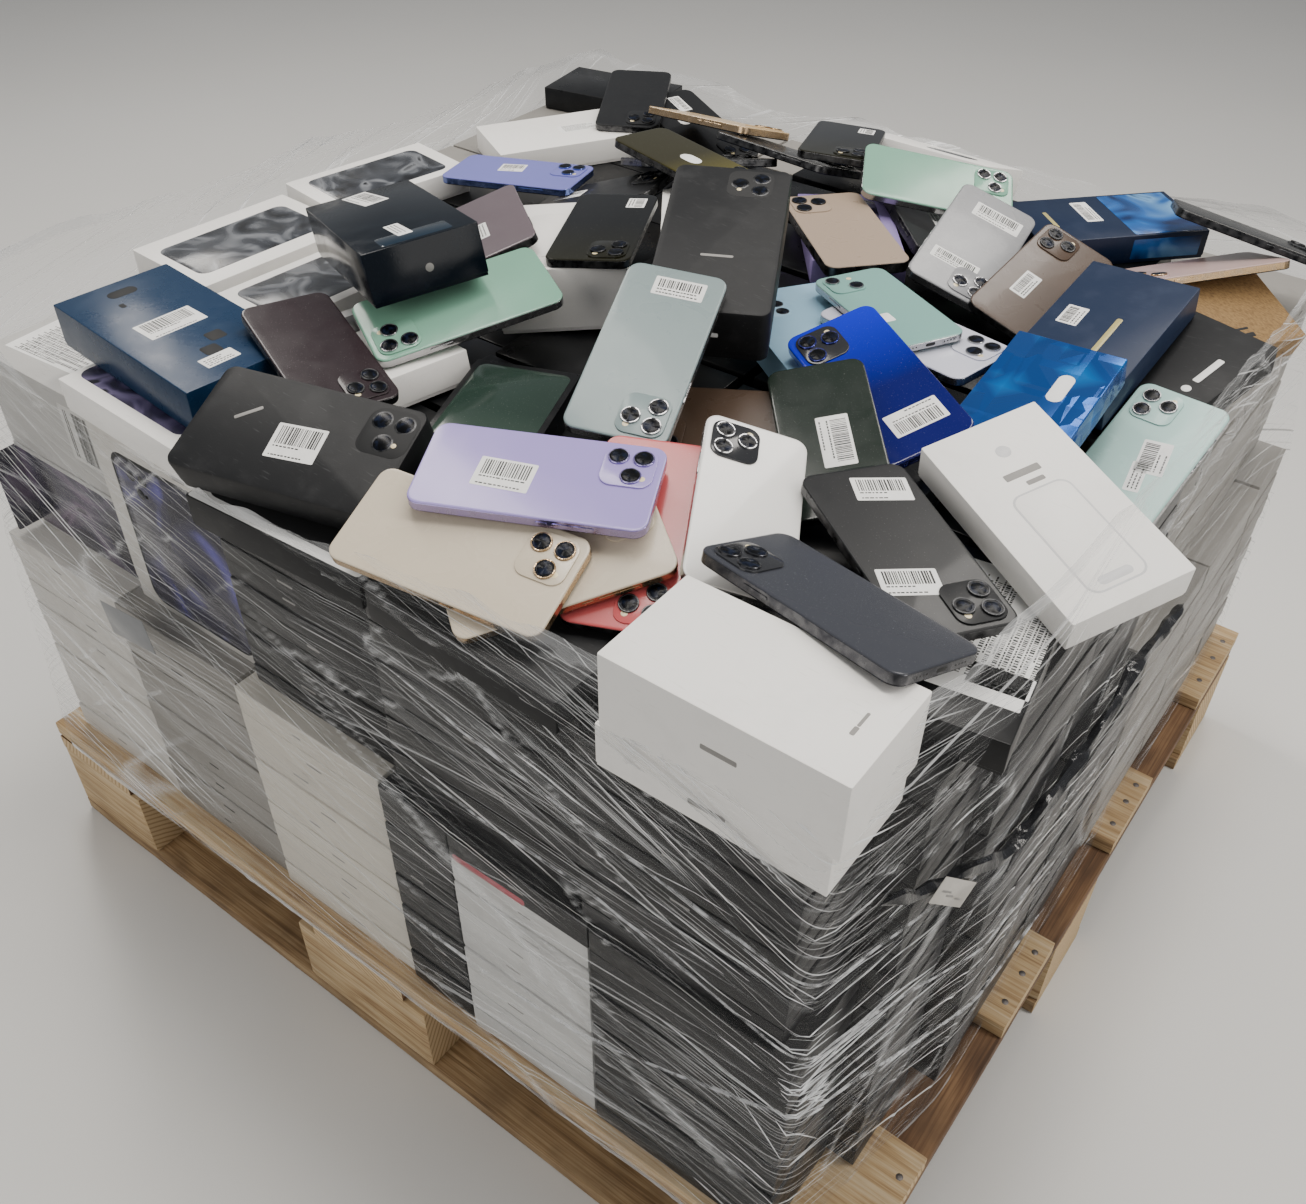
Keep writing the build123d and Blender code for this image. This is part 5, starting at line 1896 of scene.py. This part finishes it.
# nearly opaque white film: a painted glint on the short creases
BUNCHED_GLINT = BunchedFilm("stretch_film_crease_painted_glint", "#f6f8fa", 0.35, 0.95)
ROPED_FILM = BunchedFilm("stretch_film_roped", "#26272a", 0.75, 1.0)
FILM_FOLDS: tuple[FilmFold, ...] = (
    FilmFold("film_tail_roped", FOLD_TAIL, 4.2, ROPED_FILM, 30.0, 2.5),
    FilmFold("film_fold_upper", FOLD_UPPER, 0.9, BUNCHED_FILM),
    FilmFold("film_fold_middle", FOLD_MIDDLE, 0.8, BUNCHED_FILM),
    FilmFold("film_fold_lower", FOLD_LOWER, 1.1, BUNCHED_FILM),
)


def on_sleeve(run: np.ndarray, height: np.ndarray, out: float) -> np.ndarray:
    """Points on the film near the corner: before it along the front, after it along the cut corner.

    Args:
        run: distance past the near corner in mm, below nought on the front.
        height: height in mm.
        out: how far the points stand out of the film's own line.

    Returns:
        The points in mm.
    """
    far = np.interp(height, (129.0, 415.0, 608.0), (488.0, 488.0, 478.0))
    past = np.clip(run, 0.0, None) / 212.2
    x = np.where(run < 0, 446.0 + run, 446.0 + past * (far - 446.0)) + out * (run >= 0)
    return np.column_stack([x, -484.5 - out * (run < 0) + past * 208.5, height])


@dataclass(frozen=True)
class FilmCreases:
    """Short creases beside the near corner: hair-thin ropes of film in nearly opaque white, a painted glint where they
    catch the light. Sizes in mm.
    """

    count: int = 64
    thin: float = 0.35
    thick: float = 0.75
    knot: tuple[float, float] = (14.0, 386.0)
    seed: int = 23

    def build(self) -> bpy.types.Object:
        """Builds the creases as one object, each at a seeded place with a seeded length and slope.

        Returns:
            The object.
        """
        chance = np.random.default_rng(self.seed)
        shell = Shell()
        rest = Pose(np.zeros(3), np.eye(3), 0.0, 0.0, 0.0)
        for number in range(self.count):
            length = float(chance.uniform(30.0, 130.0))
            middle = float(chance.normal(20.0, 80.0))
            height = float(chance.uniform(190.0, 585.0))
            slope = float(chance.normal(-0.14, 0.10))
            if number % 3 == 0:
                length, slope = 0.4 * length, 5.0 * slope + 0.3
                middle = self.knot[0] + float(chance.normal(0.0, 9.0))
                height = self.knot[1] + float(chance.normal(0.0, 14.0))
            start = min(max(middle - length / 2, -330.0), 205.0 - length)
            run = np.linspace(0.0, length, 9)
            path = on_sleeve(start + run, height + slope * run + 1.2 * np.sin(run / 11.0), 3.0)
            radius = chance.uniform(self.thin, self.thick) * np.sin(np.linspace(0.12, np.pi - 0.12, 9))
            shell.add(tube(path, radius, sides=6), rest, BUNCHED_GLINT)
        return shell.piece("film_creases", "stretch_film")


@dataclass(frozen=True)
class FilmTape:
    """Strip of tape stuck on the film, with a few generic bars on it. Sizes in mm."""

    name: str
    place: tuple[float, float, float]
    along: tuple[float, float, float]
    length: float
    width: float
    lean: float
    finish: Finish
    bars: tuple[tuple[float, float, float], ...] = ()

    def build(self) -> bpy.types.Object:
        """Builds the strip, flat on the film.

        Returns:
            The object.
        """
        along = np.array(self.along) / np.linalg.norm(self.along)
        up = np.array((0.0, 0.0, 1.0))
        pose = Pose(np.array(self.place), np.array((along, up, np.cross(along, up))), self.length / 2,
                    self.width / 2, 0.0)
        shell = Shell()
        Patch(0.0, 0.0, self.length, self.width, self.finish, 0.8, self.lean, 0.3).lay(shell, pose, 0)
        for a, b, length in self.bars:
            Patch(a, b, length, 1.6, FAINT_INK, 0.4, self.lean, 0.4).lay(shell, pose, 0)
        return shell.piece(self.name, "stretch_film")


TAPE = PlainInk("tape_acrylic_clear", "#b9b5ad", 0.22)
GREY_TAPE = PlainInk("tape_acrylic_grey", "#7d7f82", 0.30)
FILM_TAPES: tuple[FilmTape, ...] = (
    FilmTape("film_tape_tail", (480.0, -367.5, 520.0), (0.19, 0.98, 0.0), 62.0, 20.0, -46.0, TAPE,
             ((-9.0, 9.0, 18.0), (-4.0, 0.0, 14.0), (8.0, -14.0, 12.0))),
    FilmTape("film_tape_front", (-241.0, -487.2, 439.0), (1.0, 0.0, 0.0), 64.0, 36.0, 8.0, GREY_TAPE),
)


@dataclass(frozen=True)
class FilmWrap:
    """The stretch film: a thin sleeve pulled round the load. Sizes in mm."""

    levels: tuple[float, ...] = (129.0, 415.0, 608.0, 640.0, 690.0)
    outlines: tuple[tuple[tuple[float, float], ...], ...] = (
        ((-488.0, -484.5), (446.0, -484.5), (488.0, -276.0), (488.0, 484.5), (-488.0, 484.5)),
        ((-488.0, -464.0), (446.0, -483.0), (488.0, -276.0), (488.0, 466.0), (-488.0, 466.0)),
        ((-474.0, -434.0), (446.0, -484.0), (478.0, -276.0), (460.0, 452.0), (-474.0, 458.0)),
        ((-482.0, -462.0), (446.0, -487.0), (486.0, -276.0), (482.0, 472.0), (-482.0, 472.0)),
        ((-470.0, -452.0), (436.0, -478.0), (478.0, -268.0), (474.0, 464.0), (-472.0, 464.0)),
    )
    corner: float = 16.0
    across_steps: int = 700
    up_steps: int = 130
    ridge: float = 1.6
    ragged: float = 9.0
    rim: tuple[tuple[float, float, float], ...] = (
        (-474.0, -434.0, 668.0), (-350.0, -440.0, 655.0), (-250.0, -448.0, 640.0), (-150.0, -455.0, 636.0),
        (-60.0, -462.0, 640.0), (20.0, -468.0, 655.0), (100.0, -472.0, 676.0), (200.0, -478.0, 684.0),
        (260.0, -480.0, 690.0), (446.0, -484.0, 704.0), (460.0, -400.0, 700.0), (478.0, -276.0, 715.0),
        (474.0, -150.0, 705.0), (470.0, 0.0, 706.0), (462.0, 200.0, 684.0), (460.0, 452.0, 660.0),
        (250.0, 455.0, 642.0), (0.0, 456.0, 636.0), (-250.0, 457.0, 634.0), (-474.0, 458.0, 644.0),
        (-474.0, 200.0, 654.0), (-474.0, -100.0, 672.0), (-474.0, -300.0, 676.0),
    )

    def outline(self, ring: Sequence[tuple[float, float]], count: int) -> np.ndarray:
        """Evenly spaced points round a ring with rounded corners.

        Straight sides are sampled evenly, then each point moves to the mean of its neighbours within the
        corner radius, which rounds the corners.

        Args:
            ring: corners in order.
            count: number of points.

        Returns:
            The points.
        """
        corners = np.array([*ring, ring[0]])
        lengths = np.concatenate([[0], np.cumsum(np.linalg.norm(np.diff(corners, axis=0), axis=1))])
        at = np.linspace(0, lengths[-1], count, endpoint=False)
        points = np.column_stack([np.interp(at, lengths, corners[:, k]) for k in (0, 1)])
        reach = max(1, int(self.corner / (lengths[-1] / count)))
        window = np.ones(2 * reach + 1) / (2 * reach + 1)
        padded = np.concatenate([points[-reach:], points, points[:reach]])
        return np.column_stack([np.convolve(padded[:, k], window, "valid") for k in (0, 1)])

    @staticmethod
    def smooth_noise(chance: np.random.Generator, rows: int, columns: int, out: tuple[int, int]) -> np.ndarray:
        """Smooth seeded noise: a coarse grid of random numbers, closed both ways, stretched out.

        Args:
            chance: source of the numbers.
            rows: coarse rows.
            columns: coarse columns round the load.
            out: rows and columns wanted.

        Returns:
            Values from -1 to 1.
        """
        coarse = chance.uniform(-1, 1, (rows, columns))
        coarse = np.pad(coarse, ((0, 1), (0, 1)), mode="wrap")
        u = np.linspace(0, rows, out[0], endpoint=False)
        v = np.linspace(0, columns, out[1], endpoint=False)
        i, j = u.astype(int), v.astype(int)
        s, t = u - i, v - j
        s, t = (s * s * (3 - 2 * s))[:, None], (t * t * (3 - 2 * t))[None, :]
        a, b = coarse[np.ix_(i, j)], coarse[np.ix_(i, j + 1)]
        c, d = coarse[np.ix_(i + 1, j)], coarse[np.ix_(i + 1, j + 1)]
        return (a * (1 - t) + b * t) * (1 - s) + (c * (1 - t) + d * t) * s

    def rim_line(self, ring: np.ndarray) -> np.ndarray:
        """Height of the film's upper edge round the ring, straight between the points of the rim.

        Args:
            ring: points of the outline just under the edge.

        Returns:
            A height for each point.
        """
        spots = np.array(self.rim)
        places = np.array([np.linalg.norm(ring - spot[:2], axis=1).argmin() for spot in spots])
        order = places.argsort()
        return np.interp(np.arange(len(ring)), places[order], spots[order, 2], period=len(ring))

    def build(self) -> bpy.types.Object:
        """Builds the sleeve.

        A grid of perimeter by height follows the outlines, straight between the levels. Ridges that slope
        round the load lift it outwards, and the top edge rises and falls with seeded noise.

        Returns:
            The film's object.
        """
        chance = np.random.default_rng(41)
        wide, tall = self.across_steps, self.up_steps
        rings = np.array([self.outline(ring, wide) for ring in self.outlines])
        start = np.linspace(0, 1, wide, endpoint=False)
        edge = self.smooth_noise(chance, 1, 34, (1, wide))[0] + self.smooth_noise(chance, 1, 120, (1, wide))[0] * 0.4
        top = self.rim_line(rings[2]) + edge * self.ragged
        rise = np.linspace(0, 1, tall)[:, None]
        heights = self.levels[0] + rise * (top[None, :] - self.levels[0])
        level = np.clip(np.searchsorted(self.levels, heights) - 1, 0, len(self.levels) - 2)
        lows = np.array(self.levels)[level]
        share = (heights - lows) / (np.array(self.levels)[level + 1] - lows)
        column = np.broadcast_to(np.arange(wide), heights.shape)
        flat = rings[level, column] * (1 - share[..., None]) + rings[level + 1, column] * share[..., None]
        tangent = np.roll(flat, -1, 1) - np.roll(flat, 1, 1)
        outward = np.stack([tangent[..., 1], -tangent[..., 0]], -1)
        outward /= np.linalg.norm(outward, axis=-1, keepdims=True)
        lift, crest_highlight = self.ridges(chance, heights)
        flat = flat + outward * lift[..., None]
        points = np.concatenate([flat, heights[..., None]], -1).reshape(-1, 3) * MM
        first = np.arange(wide)
        after = (first + 1) % wide
        base = (np.arange(tall - 1) * wide)[:, None]
        quads = np.stack([base + first, base + after, base + wide + after, base + wide + first], -1).reshape(-1, 4)
        mesh = bpy.data.meshes.new("stretch_film_sleeve")
        mesh.from_pydata(points.tolist(), [], quads.tolist())
        around = np.linalg.norm(np.roll(rings[1], -1, 0) - rings[1], axis=1).sum() * MM
        run = np.broadcast_to(np.concatenate([start, [1.0]]) * around, (tall, wide + 1))
        tops = np.column_stack([heights, heights[:, :1]]) * MM
        grid = np.stack([run, tops], -1)
        cells = np.stack([grid[:-1, :-1], grid[:-1, 1:], grid[1:, 1:], grid[1:, :-1]], 2)
        mesh.uv_layers.new(name="UVMap").data.foreach_set("uv", cells.reshape(-1).astype(np.float32))
        mesh.polygons.foreach_set("use_smooth", np.ones(len(quads), bool))
        # painted highlight: whiter film on the ridge crests, stronger along the top rows and the bottom rows of the
        # film's edges
        crest_highlight = 0.34 * crest_highlight
        crest_highlight[-3:] = np.maximum(crest_highlight[-3:], 0.18 + 0.22 * edge)
        crest_highlight[:2] = np.maximum(crest_highlight[:2], 0.30 + 0.30 * edge)
        fold = mesh.attributes.new("fold", "FLOAT", "POINT")
        fold.data.foreach_set("value", crest_highlight.clip(0, 1).astype(np.float32).ravel())
        mesh.materials.append(made_of(StretchFilm()))
        mesh.update()
        film = bpy.data.objects.new("stretch_film_sleeve", mesh)
        bpy.context.scene.collection.objects.link(film)
        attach(film, "root")
        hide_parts("stretch_film")
        folds = [*(fold.build() for fold in FILM_FOLDS), FilmCreases().build(),
                 *(tape.build() for tape in FILM_TAPES)]
        return film

    def ridges(self, chance: np.random.Generator, heights: np.ndarray) -> tuple[np.ndarray, np.ndarray]:
        """How far each point of the film stands out, and how bright the painted highlight on its crest is.

        Sharp ridges are one minus the size of a noise drawn out along sloping lines, to a high power. A
        family of slope n climbs n times the sleeve's doubled height once round, so that it meets itself.

        Args:
            chance: source of the noise.
            heights: height of each point.

        Returns:
            Lift in mm, never below nought, and the painted crest highlight from 0 to 1.
        """
        tall, wide = heights.shape
        start = np.arange(wide) / wide
        lift = np.zeros((tall, wide))
        crest_highlight = np.zeros((tall, wide))
        for rows, columns, climb, weight in ((30, 9, -1, 1.0), (22, 12, -2, 1.0), (26, 10, 1, 0.8), (16, 14, 3, 0.9)):
            noise = self.smooth_noise(chance, rows, columns, (tall * 2, wide))
            mask = np.clip(self.smooth_noise(chance, 3, 11, (tall * 2, wide)) * 1.6 + 0.2, 0, 1)
            shift = np.round(start * climb * tall * 2).astype(int)
            index = (np.arange(tall)[:, None] - shift[None, :]) % (tall * 2)
            at = np.arange(wide)[None, :]
            sharp = (1 - np.abs(noise[index, at])) ** 14 * mask[index, at]
            lift += weight * sharp
            crest_highlight = np.maximum(crest_highlight, np.clip((sharp - 0.62) / 0.3, 0, 1))
        return self.ridge * lift, crest_highlight


# ---------------------------------------------------------------------------------------------
# Stage, lights and camera
# ---------------------------------------------------------------------------------------------


@dataclass(frozen=True)
class Studio:
    """Plain pale floor, soft light from above and the camera at the photograph's angle."""

    floor_half: float = 7.0
    camera_place: tuple[float, float, float] = (0.61548, -0.87389, 1.18128)
    yaw: float = -36.46
    pitch: float = 40.78
    roll: float = 0.56
    focal_pixels: float = 1264.5
    picture_width: float = 1306.0
    sensor: float = 36.0

    def build(self) -> None:
        """Sets up the floor, the world, the lights and the camera."""
        self.floor()
        self.world()
        for name, place, size, power, aim in (
            ("strip_left", (-1.3, 0.4, 2.7), (0.35, 3.2), 44.0, (0.0, 0.0, 0.5)),
            ("strip_middle", (0.1, 0.8, 2.9), (0.35, 3.2), 44.0, (0.0, 0.0, 0.5)),
            ("strip_right", (1.5, 0.4, 2.7), (0.35, 3.2), 44.0, (0.0, 0.0, 0.5)),
            ("front_fill", (-0.6, -2.8, 1.9), (2.2, 1.4), 24.0, (0.0, 0.0, 0.4)),
            ("right_fill", (2.8, -0.6, 1.6), (2.0, 1.4), 16.0, (0.0, 0.0, 0.4)),
        ):
            self.light(name, place, size, power, aim)
        self.camera()

    def floor(self) -> None:
        """Lays a flat floor at height nought, as a grid of two parameters."""
        steps = np.linspace(-self.floor_half, self.floor_half, 9)
        x, y = np.meshgrid(steps, steps)
        points = np.column_stack([x.ravel(), y.ravel(), np.zeros(x.size)])
        first = (np.arange(8)[:, None] * 9 + np.arange(8)[None, :]).ravel()
        quads = np.column_stack([first, first + 1, first + 10, first + 9])
        mesh = bpy.data.meshes.new("studio_floor")
        mesh.from_pydata(points.tolist(), [], quads.tolist())
        mesh.materials.append(made_of(PaleFloor()))
        floor = bpy.data.objects.new("studio_floor", mesh)
        bpy.context.scene.collection.objects.link(floor)

    @staticmethod
    def world() -> None:
        """Gives the scene an even pale surround."""
        world = bpy.data.worlds.new("studio_world")
        world.use_nodes = True
        tree = world.node_tree
        tree.nodes.clear()
        glow = add(tree, "ShaderNodeBackground", {"Color": linear("#e9ecf0"), "Strength": 0.30})
        add(tree, "ShaderNodeOutputWorld", {"Surface": glow.outputs[0]})
        bpy.context.scene.world = world

    @staticmethod
    def light(
        name: str,
        place: tuple[float, float, float],
        size: tuple[float, float],
        power: float,
        aim: tuple[float, float, float],
    ) -> None:
        """Hangs one soft rectangular light.

        Args:
            name: the light's name.
            place: where it hangs, in metres.
            size: its two sides, in metres.
            power: watts.
            aim: the point that it faces.
        """
        lamp = bpy.data.lights.new(name, "AREA")
        lamp.shape = "RECTANGLE"
        lamp.size, lamp.size_y = size
        lamp.energy = power
        lamp.color = linear("#fffaf3")[:3]
        made = bpy.data.objects.new(name, lamp)
        made.location = place
        made.rotation_euler = (Vector(aim) - Vector(place)).to_track_quat("-Z", "Y").to_euler()
        bpy.context.scene.collection.objects.link(made)

    def camera(self) -> None:
        """Sets the camera from its yaw, pitch and roll and its focal length in the photograph's pixels."""
        yaw, pitch, roll = (math.radians(v) for v in (self.yaw, self.pitch, self.roll))
        forward = Vector((math.sin(yaw) * math.cos(pitch), math.cos(yaw) * math.cos(pitch), -math.sin(pitch)))
        right = Vector((math.cos(yaw), -math.sin(yaw), 0.0))
        up = right.cross(forward)
        side = math.cos(roll) * right + math.sin(roll) * up
        head = -math.sin(roll) * right + math.cos(roll) * up
        lens = bpy.data.cameras.new("photo_camera")
        lens.sensor_width = self.sensor
        lens.lens = self.focal_pixels / self.picture_width * self.sensor
        lens.clip_start = 0.05
        made = bpy.data.objects.new("photo_camera", lens)
        turn = Matrix((side, head, -forward)).transposed().to_4x4()
        made.matrix_world = Matrix.Translation(Vector(self.camera_place)) @ turn
        bpy.context.scene.collection.objects.link(made)
        bpy.context.scene.camera = made


# ---------------------------------------------------------------------------------------------


def finish_core(frame: dict) -> None:
    """Gives the plain core inside the columns its board finish."""
    core = frame["nodes"]["load_core"]
    core.data.materials.clear()
    core.data.materials.append(made_of(CORE_CARD))


def main() -> None:
    """Builds the sub-assemblies in order."""
    logging.basicConfig(level=logging.INFO, format="%(name)s: %(message)s")
    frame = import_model()
    Studio().build()
    pieces: list[bpy.types.Object] = []
    for part in (Pallet(frame), Columns(frame), Heap(frame)):
        made = part.build()
        pieces += made
        LOG.info("%s: %d pieces", type(part).__name__, len(made))
    finish_core(frame)
    pieces.append(FilmWrap().build())
    for piece in pieces:
        LOG.info("%s: %d faces", piece.name, len(piece.data.polygons))


if __name__ == "__main__":
    main()
